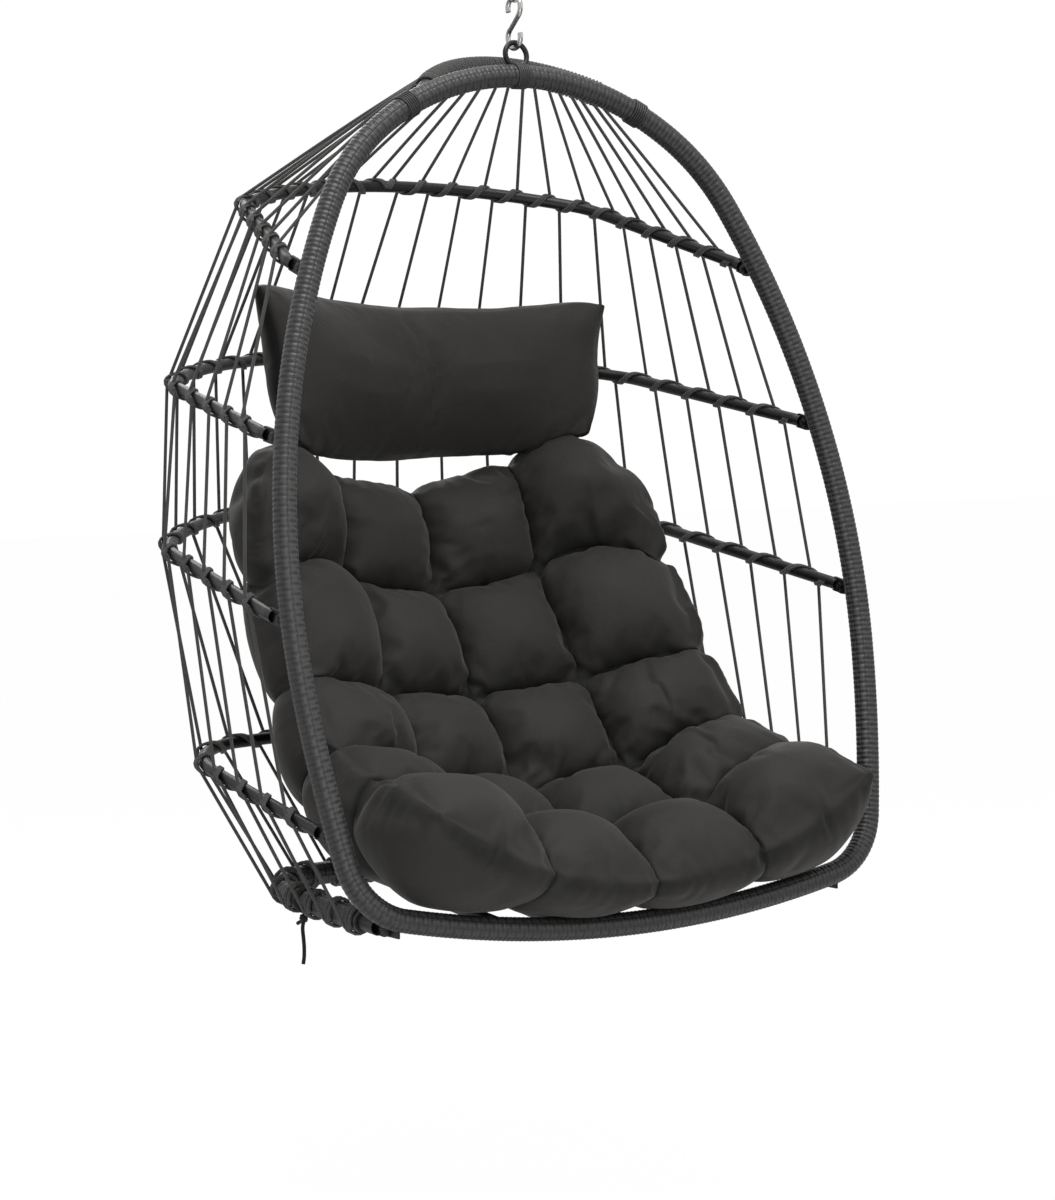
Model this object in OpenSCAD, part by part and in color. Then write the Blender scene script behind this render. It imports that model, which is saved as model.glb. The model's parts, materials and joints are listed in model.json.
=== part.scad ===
// Hanging egg chair: steel ring wrapped in flat weave, four rope-netted hoops behind it,
// tufted seat cushion and head pillow, hung from a ceiling plate by carabiners, swivel,
// chain and S-hook.
// Millimetres, +Z up, front towards -Y. The origin is the middle of the ceiling plate's top face.

/* [Front ring] */
// Outside diameter of the ring's steel tube
ring_tube_d = 25; // [19:1:32]
// Wall of the ring's steel tube
ring_wall = 2; // [1.2:0.1:3]
// Thickness of the flat weave round the ring, the arch and the base rail
wrap_t = 2.8; // [1.5:0.1:4]
// Backward lean of the ring from upright
ring_lean = 13; // [8:0.5:18]
// Radius of the bottom bar
bottom_r = 1650; // [1400:10:2200]
// Half of the bottom bar's bend
bottom_turn = 11.7; // [9:0.1:14]
// Radius of the two bottom corners
corner_r = 95; // [80:1:130]
// Bend of each bottom corner
corner_turn = 67; // [64:0.5:70]
// Radius of the lower side bars
low_side_r = 1780; // [1400:10:2200]
// Bend of each lower side bar
low_side_turn = 7; // [5:0.5:9]
// Radius of the long side bars
side_r = 1111; // [1050:1:1180]
// Bend of each long side bar
side_turn = 32.2; // [30:0.1:34]
// Radius of the two shoulders
shoulder_r = 290; // [250:1:330]
// Bend of each shoulder
shoulder_turn = 24.8; // [22:0.1:27]

/* [Hoops] */
// Outside diameter of the hoop tubes
hoop_d = 16; // [12:0.5:20]
// Wall of the hoop tubes
hoop_wall = 1; // [0.8:0.1:2]
// Heights of the hoop pivots up the ring, top hoop first
hoop_up = [846, 634, 409, 142]; // [120:1:900]
// Upward tilt of the hoops towards the back
hoop_tilt = [17.8, 9.3, 10.2, 10.6]; // [0:0.1:20]
// Inward splay of the side legs
hoop_splay = [17, 9, 7.3, 0.5]; // [0:0.1:20]
// Length of the straight side legs
hoop_leg = [230, 295, 305, 245]; // [150:1:360]
// Radius of the two rear corners
hoop_corner_r = [67, 81, 107, 118]; // [50:1:140]
// Half of the rear bar's bend
hoop_bow = [35, 53, 53, 8]; // [4:1:56]
// Distance of a hoop pivot behind the ring's centre line
lug_reach = 26; // [24:0.5:32]
// Thickness of the lugs welded to the ring
lug_t = 3; // [2:0.5:5]
// Thickness of the flattened hoop ends
tab_t = 4; // [3:0.5:5]
// Width of the flattened hoop ends
tab_w = 19; // [16:0.5:20]
// Diameter of the pivot bolts
pivot_d = 6; // [4:0.5:7]

/* [Base rail] */
// Half of the distance between the base rail's pivots
rail_half = 345; // [320:1:355]
// Drop of the base rail's pivots below the ring's centre line
rail_drop = 15; // [8:1:20]
// Upward tilt of the base rail towards the back
rail_tilt = 3.5; // [0:0.1:6]
// Length of the base rail's straight legs
rail_leg = 181; // [150:1:220]
// Radius of the base rail's rear corners
rail_corner_r = 115; // [90:1:140]
// Number of floor bars under the cushion
floor_bars_n = 5; // [3:2:7]
// Spacing of the floor bars
floor_pitch = 90; // [60:1:100]

/* [Top arch] */
// Half of the distance between the arch's ends
arch_half = 152; // [120:1:170]
// Half of the arch's bend
arch_turn = 55; // [45:1:65]
// Upward tilt of the arch towards the back
arch_tilt = 32; // [20:1:45]
// Outside diameter of the arch's steel tube
arch_tube_d = 21; // [16:1:24]
// Wall of the arch's steel tube
arch_wall = 1.5; // [1:0.1:2.5]

/* [Rope net] */
// Diameter of the rope
rope_d = 4.5; // [3:0.5:6]
// Number of ropes on each side of the middle
ropes_side = 12; // [8:2:14]

/* [Cushions] */
// Full thickness of the seat cushion at its crowns
seat_t = 128; // [110:1:140]
// Half width of the seat cushion
seat_half = 345; // [300:1:360]
// Length of the flat of the seat
seat_flat = 200; // [160:1:230]
// Rise of the cushion's side wings
seat_wing = 125; // [90:1:140]
// Half width of the head pillow
pillow_half = 282; // [240:1:300]
// Half height of the head pillow
pillow_rise = 112; // [90:1:120]
// Thickness of the head pillow
pillow_t = 130; // [100:1:150]
// Thickness of cover and packed edge round the light filling
cover_t = 6; // [4:0.5:10]

/* [Hanging kit] */
// Diameter of the ceiling plate
plate_d = 120; // [110:1:140]
// Thickness of the ceiling plate
plate_t = 3; // [2.5:0.5:5]
// Circle of the four anchors
anchor_pcd = 88; // [80:1:94]
// Outside diameter of the anchor sleeves
sleeve_d = 12; // [11:0.5:13]
// Length of the anchor sleeves above the plate
sleeve_l = 58; // [45:1:70]
// Diameter of the anchor bolts
anchor_d = 8; // [6:0.5:8]
// Diameter of the ceiling hook's bar
hook_d = 12; // [10:0.5:13]
// Bend radius of the ceiling hook's centre line
hook_r = 18; // [17:0.5:22]
// Drop of the ceiling hook below the plate
hook_drop = 60; // [50:1:75]
// Wire of the carabiners
carab_d = 7; // [6:0.5:7.5]
// Overall length of the carabiners
carab_l = 90; // [80:1:105]
// Centre-line radius of the carabiners' wide end
carab_wide_r = 14; // [13:0.5:16]
// Bar of the swivel's eyes
swivel_d = 8; // [6:0.5:8.5]
// Centre-line radius of the swivel's eyes
swivel_r = 14; // [13.5:0.5:16]
// Length of the straight sides of the swivel's eyes
swivel_leg = 18; // [15:0.5:25]
// Wire of the chain
chain_d = 4; // [3:0.5:4]
// Centre-line radius of a chain link's ends
chain_r = 6; // [5.9:0.1:7]
// Length of a chain link's straight sides
chain_leg = 11; // [9:0.5:14]
// Wire of the S-hook
s_d = 7; // [5:0.5:7.5]
// Centre-line radius of the S-hook's bowls
s_r = 14; // [13:0.5:16]
// Distance between the S-hook's bowls
s_gap = 38; // [34:1:46]
// Wire of the chair's hanging eye
eye_d = 7; // [6:0.5:8]
// Centre-line radius of the chair's hanging eye
eye_r = 16.5; // [15:0.5:18]
// Tip of the whole chair on its hook, so that its weight hangs under the eye
chair_tip = 0.51; // [-2:0.01:2]

/* [Hidden] */
$fn = 32;

steel_bright = [0.75, 0.74, 0.71];
zinc = [0.82, 0.83, 0.82];
paint_black = [0.10, 0.10, 0.10];
weave_grey = [0.25, 0.25, 0.26];
rope_grey = [0.22, 0.22, 0.21];
cloth_charcoal = [0.20, 0.20, 0.19];

fit = 0.05;
run_gap = 0.15;
seam = 0.04;

// ---- planar paths: a list of [bend radius, bend angle], or [0, length] for a straight ----

function step(p, R, v) = R == 0
    ? [p[0] + v * cos(p[2]), p[1] + v * sin(p[2]), p[2]]
    : [p[0] + R * (sin(p[2] + v) - sin(p[2])), p[1] + R * (cos(p[2]) - cos(p[2] + v)), p[2] + v];
function path_end(path, p, n) = n == 0 ? p : step(path_end(path, p, n - 1), path[n - 1][0], path[n - 1][1]);
function piece_len(s) = s[0] == 0 ? s[1] : s[0] * s[1] * PI / 180;
function path_len(path, i = 0) = i == len(path) ? 0 : piece_len(path[i]) + path_len(path, i + 1);
function path_at(path, p, d, i = 0) =
    let(l = piece_len(path[i]), R = path[i][0])
    d <= l || i == len(path) - 1
        ? step(p, R, R == 0 ? d : d / R * 180 / PI)
        : path_at(path, step(p, R, path[i][1]), d - l, i + 1);

function arc_steps(R) = R > 60 ? 240 : 48;
module run(path, split = 0) {
    for (i = [0:len(path) - 1]) {
        R = path[i][0];
        v = path[i][1];
        from(path_at([path[i]], path_end(path, [0, 0, 0], i), split / 2))
            if (R == 0) rotate([0, 90, 0]) linear_extrude(v - split) children();
            else translate([0, R, 0]) rotate([0, 0, -90])
                rotate_extrude(angle = v - split / R * 180 / PI, $fn = arc_steps(R)) translate([R, 0]) children();
    }
}
module from(p) {
    translate([p[0], p[1], 0]) rotate([0, 0, p[2]]) children();
}
module both_sides() {
    children();
    mirror([1, 0, 0]) children();
}
module in_xz() {
    rotate([90, 0, 0]) children();
}
module in_yz() {
    rotate([90, 0, 90]) children();
}
module pipe_profile(d, wall) {
    difference() {
        circle(d = d);
        circle(d = d - 2 * wall);
    }
}
module sleeve_profile(d, t) {
    difference() {
        circle(d = d + 2 * t);
        circle(d = d + 2 * fit);
    }
}
module torus(R, r) {
    rotate_extrude() translate([R, 0]) circle(r);
}
module fine_torus(R, r) {
    rotate_extrude($fn = 18) translate([R, 0]) circle(r, $fn = 13);
}
module rod(p, q, r) {
    v = q - p;
    translate(p) rotate([0, acos(v.z / norm(v)), atan2(v.y, v.x)]) cylinder(r = r, h = norm(v), $fn = 16);
}

// ---- heights of the hanging kit, from the ceiling down ----

hook_z = -plate_t - hook_drop + hook_d / 2;
carab1_z = hook_z + hook_d / 2 + carab_d / 2 + run_gap;
carab1_low = carab1_z - carab_l + carab_d;
swivel_top_z = carab1_low + carab_d / 2 + swivel_d / 2 + run_gap;
swivel_corner_r = 6;
swivel_hub_d = 17;
swivel_hub_l = 13;
swivel_split = 1;
swivel_arm_z = (swivel_split + swivel_hub_l) / 2;
swivel_eye_l = swivel_arm_z + swivel_corner_r + swivel_leg + swivel_r;
swivel_mid_z = swivel_top_z - swivel_eye_l;
swivel_low_z = swivel_mid_z - swivel_eye_l;
carab2_z = swivel_low_z + swivel_d / 2 + carab_d / 2 + run_gap;
carab2_low = carab2_z - carab_l + carab_d;
link_h = chain_leg + 2 * chain_r;
link_pitch = link_h - chain_d - run_gap;
link1_z = carab2_low + carab_d / 2 + chain_d / 2 + run_gap;
links_n = 5;
chain_low = link1_z - (links_n - 1) * link_pitch - link_h;
s_top_z = chain_low + chain_d / 2 + s_d / 2 + run_gap;
s_low_z = s_top_z - 2 * s_r - s_gap;
eye_bar_z = s_low_z + s_d / 2 + eye_d / 2 + run_gap;

// ---- the ring's outline: half of it, from the middle of the bottom bar to the crown ----

crown_turn = 180 - bottom_turn - corner_turn - low_side_turn - side_turn - shoulder_turn;
ring_lower = [
    [bottom_r, bottom_turn], [corner_r, corner_turn], [low_side_r, low_side_turn],
    [side_r, side_turn], [shoulder_r, shoulder_turn]
];
ring_start = [0, 0, 0];
crown_r = path_end(ring_lower, ring_start, 5)[0] / sin(crown_turn);
ring_path = concat(ring_lower, [[crown_r, crown_turn]]);
ring_h = path_end(ring_path, ring_start, 6)[1];
wrap_r = ring_tube_d / 2 + wrap_t;
eye_up = ring_h + ring_tube_d / 2 + eye_r - 1;
hang_up = eye_up + eye_r;

function ring_piece(up) = [for (i = [0:5]) if (path_end(ring_path, ring_start, i + 1)[1] >= up) i][0];
function ring_half_at(up) =
    let(i = ring_piece(up), p = path_end(ring_path, ring_start, i), R = ring_path[i][0])
    p[0] - R * sin(p[2]) + sqrt(pow(R, 2) - pow(up - p[1] - R * cos(p[2]), 2));
function bottom_up_at(x) = bottom_r - sqrt(pow(bottom_r, 2) - x * x);
function crown_up_at(x) = ring_h - crown_r + sqrt(pow(crown_r, 2) - x * x);

module chair() {
    translate([0, 0, eye_bar_z]) rotate([chair_tip, 0, 0]) rotate([-ring_lean, 0, 0])
        translate([0, 0, -hang_up]) rotate([ring_lean, 0, 0]) children();
}
module ring_plane() {
    rotate([90 - ring_lean, 0, 0]) children();
}
module ring_run(short = 0) {
    last = [crown_r, crown_turn - short];
    path = [for (i = [0:5]) i == 5 ? last : ring_path[i]];
    ring_plane() both_sides() run(path, seam) children();
}
// place on the right half of the ring at a distance along its centre line
module ring_place(d) {
    ring_plane() from(path_at(ring_path, ring_start, d)) children();
}
module ring_arc(x, half) {
    v = asin(x / crown_r);
    a = half / crown_r * 180 / PI;
    ring_plane() translate([0, ring_h - crown_r, 0]) rotate([0, 0, 90 - v - a])
        rotate_extrude(angle = 2 * a, $fn = arc_steps(crown_r)) translate([crown_r, 0]) children();
}
function ring_dist(up, i = 0, d = 0) =
    let(p = path_end(ring_path, ring_start, i), q = path_end(ring_path, ring_start, i + 1), R = ring_path[i][0])
    q[1] < up
        ? ring_dist(up, i + 1, d + piece_len(ring_path[i]))
        : d + R * (acos(cos(p[2]) - (up - p[1]) / R) - p[2]) * PI / 180;
module ring_bar(up, r) {
    ring_place(ring_dist(up)) rotate([0, 90, 0]) cylinder(r = r, h = 80, center = true);
}

// ---- hoops: each frame has its pivots on the X axis and its rear bar towards +Y ----

bend_r = 30;
tab_l = 24;
tube_start = 14;
hoops_n = 4;
rail = hoops_n;

rail_up = let(p = path_end(ring_path, ring_start, 1), h = asin(sin(p[2]) + (rail_half - p[0]) / corner_r))
    p[1] + corner_r * (cos(p[2]) - cos(h));
function hoop_half(k) = (k < rail ? ring_half_at(hoop_up[k]) : rail_half) + tab_t / 2;
function hoop_legs(k) = k < rail
    ? [[0, tab_l], [bend_r, hoop_splay[k]], [0, hoop_leg[k]],
       [hoop_corner_r[k], 90 - hoop_splay[k] - hoop_bow[k]]]
    : [[0, tab_l], [bend_r, 0.5], [0, rail_leg], [rail_corner_r, 86.5]];
function hoop_rear_turn(k) = k < rail ? hoop_bow[k] : 3;
function hoop_start(k) = [hoop_half(k), 0, 90];
function hoop_path(k) =
    let(e = path_end(hoop_legs(k), hoop_start(k), 4))
    concat(hoop_legs(k), [[e[0] / sin(hoop_rear_turn(k)), hoop_rear_turn(k)]]);
function hoop_tilt_at(k) = k < rail ? hoop_tilt[k] : rail_tilt;
function hoop_foot(k) = k < rail
    ? [0, hoop_up[k] * sin(ring_lean) + lug_reach, hoop_up[k] * cos(ring_lean)]
    : [0, rail_up * sin(ring_lean) + lug_reach, rail_up * cos(ring_lean) - rail_drop];
function hoop_to_chair(k, v) =
    let(t = hoop_tilt_at(k))
    hoop_foot(k) + [v.x, v.y * cos(t) - v.z * sin(t), v.y * sin(t) + v.z * cos(t)];
module hoop_frame(k) {
    translate(hoop_foot(k)) rotate([hoop_tilt_at(k), 0, 0]) children();
}

// ---- arch frame: its ends on the ring near the crown ----

arch_up = crown_up_at(arch_half);
arch_path = [[arch_half / sin(arch_turn), arch_turn]];
arch_start = [arch_half, 0, 180 - arch_turn];
arch_foot = [0, arch_up * sin(ring_lean), arch_up * cos(ring_lean)];
arch_r = arch_tube_d / 2 + wrap_t;
function arch_to_chair(v) =
    arch_foot + [v.x, v.y * cos(arch_tilt) - v.z * sin(arch_tilt), v.y * sin(arch_tilt) + v.z * cos(arch_tilt)];
module arch_frame() {
    translate(arch_foot) rotate([arch_tilt, 0, 0]) children();
}

// ---- ropes: station i runs from the ring (0) to the middle; level 0 is the arch, 1 to 4 the
// hoops, 5 the base rail ----

rope_r = rope_d / 2;
hitch_gap = 0.3;
rope_side_gap = 2.6;
pair_half = 4.2;
arch_first = 50;
first_station = 36;
function level_path(n) = n == 0 ? arch_path : hoop_path(n - 1);
function level_start(n) = n == 0 ? arch_start : hoop_start(n - 1);
function level_tube_r(n) = n == 0 ? arch_r : n <= hoops_n ? hoop_d / 2 : wrap_r;
function hitch_r(n) = level_tube_r(n) + rope_r + hitch_gap;
function station(n, i) = n == 0
    ? arch_first + (path_len(arch_path) - arch_first) * (floor(i / 2) + 0.5) / (ropes_side / 2)
        + pair_half * (i % 2 == 0 ? -1 : 1)
    : first_station + (path_len(level_path(n)) - first_station) * (i + 0.5) / ropes_side;
function level_point(n, i, shift) = path_at(level_path(n), level_start(n), station(n, i) + shift);
function level_to_chair(n, v) = n == 0 ? arch_to_chair(v) : hoop_to_chair(n - 1, v);
function rope_centre(n, i, shift) = let(p = level_point(n, i, shift)) level_to_chair(n, [p[0], p[1], 0]);
function level_way(n, i, v) =
    let(p = level_point(n, i, 0), c = cos(p[2]), e = sin(p[2]))
    level_to_chair(n, [v.x * c - v.y * e, v.x * e + v.y * c, 0]) - level_to_chair(n, [0, 0, 0]);
function rope_off(n, i, d, r) =
    let(c = unit(cross(d, level_way(n, i, [1, 0, 0])))) r * sign(c * level_way(n, i, [0, -1, 0])) * c;
function unit(v) = v / norm(v);
module level_frame(n) {
    if (n == 0) arch_frame() children();
    else hoop_frame(n - 1) children();
}
module hitches(n) {
    for (i = [0:ropes_side - 1]) both_sides() level_frame(n) from(level_point(n, i, 0)) rotate([0, 90, 0])
        fine_torus(hitch_r(n), rope_r);
}
module rope_runs(n) {
    beside = rope_d + rope_side_gap;
    for (i = [0:ropes_side - 1]) both_sides() {
        a = rope_centre(n, i, n == 0 ? 0 : -beside);
        b = rope_centre(n + 1, i, beside);
        d = unit(b - a);
        over = n == 0 ? beside : 0;
        rod(a + rope_off(n, i, d, hitch_r(n) + over), b + rope_off(n + 1, i, d, hitch_r(n + 1)), rope_r);
    }
}

// ---- soft pieces: a quilt is two sheets over a curved middle surface, joined by a rim ----

module quilt(us, vs, top, bottom) {
    a = len(us);
    b = len(vs);
    n = a * b;
    rim = concat(
        [for (i = [0:a - 2]) [i, i + 1]],
        [for (j = [0:b - 2]) [j * a + a - 1, (j + 1) * a + a - 1]],
        [for (i = [a - 1:-1:1]) [(b - 1) * a + i, (b - 1) * a + i - 1]],
        [for (j = [b - 1:-1:1]) [j * a, (j - 1) * a]]
    );
    polyhedron(
        points = concat(
            [for (v = vs) for (u = us) top(u, v)],
            [for (v = vs) for (u = us) bottom(u, v)]
        ),
        faces = concat(
            [for (j = [0:b - 2]) for (i = [0:a - 2]) [j * a + i, (j + 1) * a + i + 1, j * a + i + 1]],
            [for (j = [0:b - 2]) for (i = [0:a - 2]) [j * a + i, (j + 1) * a + i, (j + 1) * a + i + 1]],
            [for (j = [0:b - 2]) for (i = [0:a - 2]) [n + j * a + i, n + j * a + i + 1, n + (j + 1) * a + i + 1]],
            [for (j = [0:b - 2]) for (i = [0:a - 2]) [n + j * a + i, n + (j + 1) * a + i + 1, n + (j + 1) * a + i]],
            [for (e = rim) [e[0], e[1], n + e[1]]],
            [for (e = rim) [e[0], n + e[1], n + e[0]]]
        )
    );
}
function spread(n) = [for (i = [0:n]) i / n];
function inset_spread(n, m) = concat([m], [for (i = [1:n - 1]) i / n], [1 - m]);
function cell_rise(t, n) = pow(abs(sin(180 * n * t)), 0.55);
function edge_rise(t, n) = pow(min(1, 2.2 * n * min(t, 1 - t)), 0.38);

// seat cushion: four columns and five rows of sewn tufts, bent up at the sides and the back
seat_cols = 4;
seat_rows = 5;
seat_steps = 5;
tuft_steps = 4;
channel = 0.5;
seat_rim = 5;
seat_under = 0.46 * seat_t;
seat_over = seat_t - seat_under;
seat_front = -72;
seat_slope = 6.4;
seat_sink = 9;
seat_start = [seat_front, wrap_r + seat_under - seat_sink + seat_front * tan(seat_slope), seat_slope];
seat_line = [[0, seat_flat], [300, 49], [0, 170], [400, 18], [0, 92]];
seat_len = path_len(seat_line);
seat_mid = function(u, v)
    let(p = path_at(seat_line, seat_start, v * seat_len), w = 2 * u - 1, k = seat_wing * pow(abs(w), 2.2))
    [w * (seat_half - 25 * v), p[0] - k * sin(p[2]), p[1] + k * cos(p[2])];
function surface_normal(f, u, v) =
    let(e = 0.01, a = f(min(u + e, 1), v) - f(max(u - e, 0), v), b = f(u, min(v + e, 1)) - f(u, max(v - e, 0)))
    unit(cross(a, b));
function seat_puff(u, v) =
    (channel + (1 - channel) * cell_rise(u, seat_cols) * cell_rise(v, seat_rows))
    * edge_rise(u, seat_cols) * edge_rise(v, seat_rows);
function seat_point(u, v, h) =
    seat_mid(u, v) + sign(h) * max(abs(h) * seat_puff(u, v), seat_rim) * surface_normal(seat_mid, u, v);
function seat_hollow_point(u, v, h) =
    seat_mid(u, v) + sign(h) * max(abs(h) * seat_puff(u, v) - cover_t, 1) * surface_normal(seat_mid, u, v);

// head pillow: full in the middle, with drawn-in sides and pointed corners
pillow_cols = 14;
pillow_rows = 10;
pillow_foot = [12, 540, 685.8];
pillow_lean = 8;
pillow_wrap = 95;
pillow_rim = 4;
pillow_mid = function(u, v)
    let(a = 2 * u - 1, b = 2 * v - 1, x = pillow_half * a * (0.94 + 0.06 * b * b), z = pillow_rise * b * (0.86 + 0.14 * a * a))
    pillow_foot + [x, z * sin(pillow_lean) - pillow_wrap * a * a, z * cos(pillow_lean)];
function pillow_full(u, v) = pow(4 * u * (1 - u), 0.42) * pow(4 * v * (1 - v), 0.5);
function pillow_point(u, v, h) =
    pillow_mid(u, v) + sign(h) * max(abs(h) * pillow_full(u, v), pillow_rim) * surface_normal(pillow_mid, u, v);
function pillow_hollow_point(u, v, h) =
    pillow_mid(u, v) + sign(h) * max(abs(h) * pillow_full(u, v) - cover_t, 1) * surface_normal(pillow_mid, u, v);

module seat_cushion() {
    us = spread(seat_cols * tuft_steps);
    vs = spread(seat_rows * tuft_steps);
    color(cloth_charcoal) chair() difference() {
        quilt(us, vs,
            function(u, v) seat_point(u, v, seat_over),
            function(u, v) seat_point(u, v, -seat_under));
        quilt(inset_spread(2 * seat_cols, 0.06), inset_spread(2 * seat_rows, 0.05),
            function(u, v) seat_hollow_point(u, v, seat_over),
            function(u, v) seat_hollow_point(u, v, -seat_under));
    }
}
module head_pillow() {
    color(cloth_charcoal) chair() difference() {
        quilt(spread(pillow_cols), spread(pillow_rows),
            function(u, v) pillow_point(u, v, pillow_t / 2),
            function(u, v) pillow_point(u, v, -pillow_t / 2));
        quilt(inset_spread(6, 0.08), inset_spread(4, 0.12),
            function(u, v) pillow_hollow_point(u, v, pillow_t / 2),
            function(u, v) pillow_hollow_point(u, v, -pillow_t / 2));
    }
}

// ---- ceiling plate with its hook and anchors ----

washer_t = 1.6;
nut_h = 6.5;
bolt_end = 9;
cone_h = 7;
cap_h = 3;
hub_d = 20;
hub_h = 11;
module anchor_places() {
    for (a = [45:90:315]) rotate([0, 0, a]) translate([anchor_pcd / 2, 0, 0]) children();
}
module ceiling_plate() {
    color(zinc) difference() {
        translate([0, 0, -plate_t]) cylinder(d = plate_d, h = plate_t);
        anchor_places() translate([0, 0, -plate_t - 1]) cylinder(d = anchor_d + 0.6, h = plate_t + 2);
    }
}
module ceiling_hook() {
    leg = hook_drop - hook_r - hook_d / 2;
    color(steel_bright) union() {
        translate([0, 0, -plate_t]) in_xz() from([-hook_r, 0, -90])
            run([[0, leg], [hook_r, 180], [0, leg]]) circle(d = hook_d);
        both_sides() translate([hook_r, 0, -plate_t - hub_h]) cylinder(d = hub_d, h = hub_h);
    }
}
module anchor_sleeves() {
    color(steel_bright) anchor_places() difference() {
        cylinder(d = sleeve_d, h = sleeve_l);
        translate([0, 0, -1]) cylinder(d = anchor_d + 0.2, h = sleeve_l + 2);
        translate([0, 0, sleeve_l - cone_h]) cylinder(d1 = anchor_d + 0.2, d2 = sleeve_d - 1, h = cone_h + 0.01);
        for (a = [0, 90]) rotate([0, 0, a]) translate([-sleeve_d, -0.6, sleeve_l - 22])
            cube([2 * sleeve_d, 1.2, 23]);
    }
}
module anchor_bolts() {
    low = plate_t + washer_t + nut_h + bolt_end;
    color(steel_bright) anchor_places() union() {
        translate([0, 0, -low]) cylinder(d = anchor_d, h = low + sleeve_l);
        translate([0, 0, sleeve_l - cone_h + 1]) cylinder(d1 = anchor_d - 0.2, d2 = sleeve_d - 1.4, h = cone_h);
        translate([0, 0, sleeve_l + 1]) cylinder(d = sleeve_d, h = cap_h);
    }
}
module anchor_washers() {
    color(zinc) anchor_places() translate([0, 0, -plate_t - washer_t]) difference() {
        cylinder(d = 2 * anchor_d, h = washer_t);
        translate([0, 0, -1]) cylinder(d = anchor_d + 0.4, h = washer_t + 2);
    }
}
module anchor_nuts() {
    color(zinc) anchor_places() translate([0, 0, -plate_t - washer_t - nut_h]) difference() {
        cylinder(d = 1.88 * anchor_d, h = nut_h, $fn = 6);
        translate([0, 0, -1]) cylinder(d = anchor_d + 0.1, h = nut_h + 2);
    }
}

// ---- carabiners: the frame has the narrow end's bar at the origin, the wide end below it and
// the gate on the +X side ----

nose_l = 7;
tail_l = 7;
gate_gap = 0.5;
gate_d = carab_d - 0.5;
gate_pin_d = 2.4;
pin_back = 4.2;
tongue_t = 2.6;
slot_t = 3.2;
sleeve_nut_d = 12;
sleeve_nut_l = 15;
function carab_line(rt) =
    let(d = carab_l - carab_d - rt - carab_wide_r, f = asin((carab_wide_r - rt) / d))
    [f, d * cos(f), [rt * cos(f), rt * sin(f) - rt], d];
module carabiner_body(rt, hinge_up) {
    line = carab_line(rt);
    f = line[0];
    top_l = hinge_up ? tail_l : nose_l;
    low_l = hinge_up ? nose_l : tail_l;
    up = [-sin(f), cos(f)];
    start = line[2] - top_l * up;
    union() {
        from([start[0], start[1], 90 + f]) run([
            [0, top_l], [rt, 180 - 2 * f], [0, line[1]], [carab_wide_r, 180 + 2 * f], [0, low_l]
        ], seam) circle(d = carab_d);
        gate_frame(rt, hinge_up) translate([0, 0, -tongue_t / 2]) linear_extrude(tongue_t) difference() {
            union() {
                circle(d = 5.2);
                translate([-pin_back - 1, -2.5]) square([pin_back + 1, 5]);
            }
            circle(d = gate_pin_d + 2 * fit);
        }
    }
}
module gate_frame(rt, hinge_up) {
    line = carab_line(rt);
    f = line[0];
    up = [-sin(f), cos(f)];
    pin = hinge_up
        ? line[2] - (tail_l + pin_back) * up
        : line[2] - (line[1] - tail_l - pin_back) * up;
    translate([pin[0], pin[1], 0]) rotate([0, 0, hinge_up ? f - 90 : 90 + f]) children();
}
function gate_l(rt) = carab_line(rt)[1] - nose_l - tail_l - pin_back - gate_gap;
module gate_body(rt, hinge_up) {
    gate_frame(rt, hinge_up) difference() {
        union() {
            rotate([0, 90, 0]) cylinder(d = gate_d, h = gate_l(rt));
            translate([0, 0, -gate_d / 2 + 0.6]) cylinder(d = gate_d, h = gate_d - 1.2);
        }
        translate([-gate_d, -gate_d, -slot_t / 2]) cube([gate_d + 3.1, 2 * gate_d, slot_t]);
        translate([0, 0, -gate_d]) cylinder(d = gate_pin_d + 0.02, h = 2 * gate_d);
    }
}
module gate_pin(rt, hinge_up) {
    gate_frame(rt, hinge_up) translate([0, 0, -gate_d / 2 + 0.6]) cylinder(d = gate_pin_d, h = gate_d - 1.2);
}
upper_r = hook_d / 2 + carab_d / 2 + 1;
lower_r = swivel_d / 2 + carab_d / 2 + 1;
module upper_place() {
    translate([0, 0, carab1_z]) in_yz() children();
}
module lower_place() {
    translate([0, 0, carab2_z]) in_yz() children();
}
module upper_carabiner() {
    color(zinc) upper_place() carabiner_body(upper_r, true);
}
module upper_gate() {
    color(zinc) upper_place() gate_body(upper_r, true);
}
module upper_gate_pin() {
    color(steel_bright) upper_place() gate_pin(upper_r, true);
}
module screw_sleeve() {
    mid = gate_l(upper_r) * 0.5;
    color(zinc) upper_place() gate_frame(upper_r, true) translate([mid, 0, 0]) rotate([0, 90, 0]) difference() {
        cylinder(d = sleeve_nut_d, h = sleeve_nut_l, center = true);
        cylinder(d = gate_d + 2 * fit, h = sleeve_nut_l + 1, center = true);
        for (a = [0:30:330]) rotate([0, 0, a]) translate([sleeve_nut_d / 2 + 0.5, 0, 0])
            cylinder(d = 2, h = sleeve_nut_l - 4, center = true);
    }
}
module lower_carabiner() {
    color(zinc) lower_place() carabiner_body(lower_r, false);
}
module lower_gate() {
    color(zinc) lower_place() gate_body(lower_r, false);
}
module lower_gate_pin() {
    color(steel_bright) lower_place() gate_pin(lower_r, false);
}

// ---- swivel: two round-ended eyes on one riveted pin ----

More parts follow.
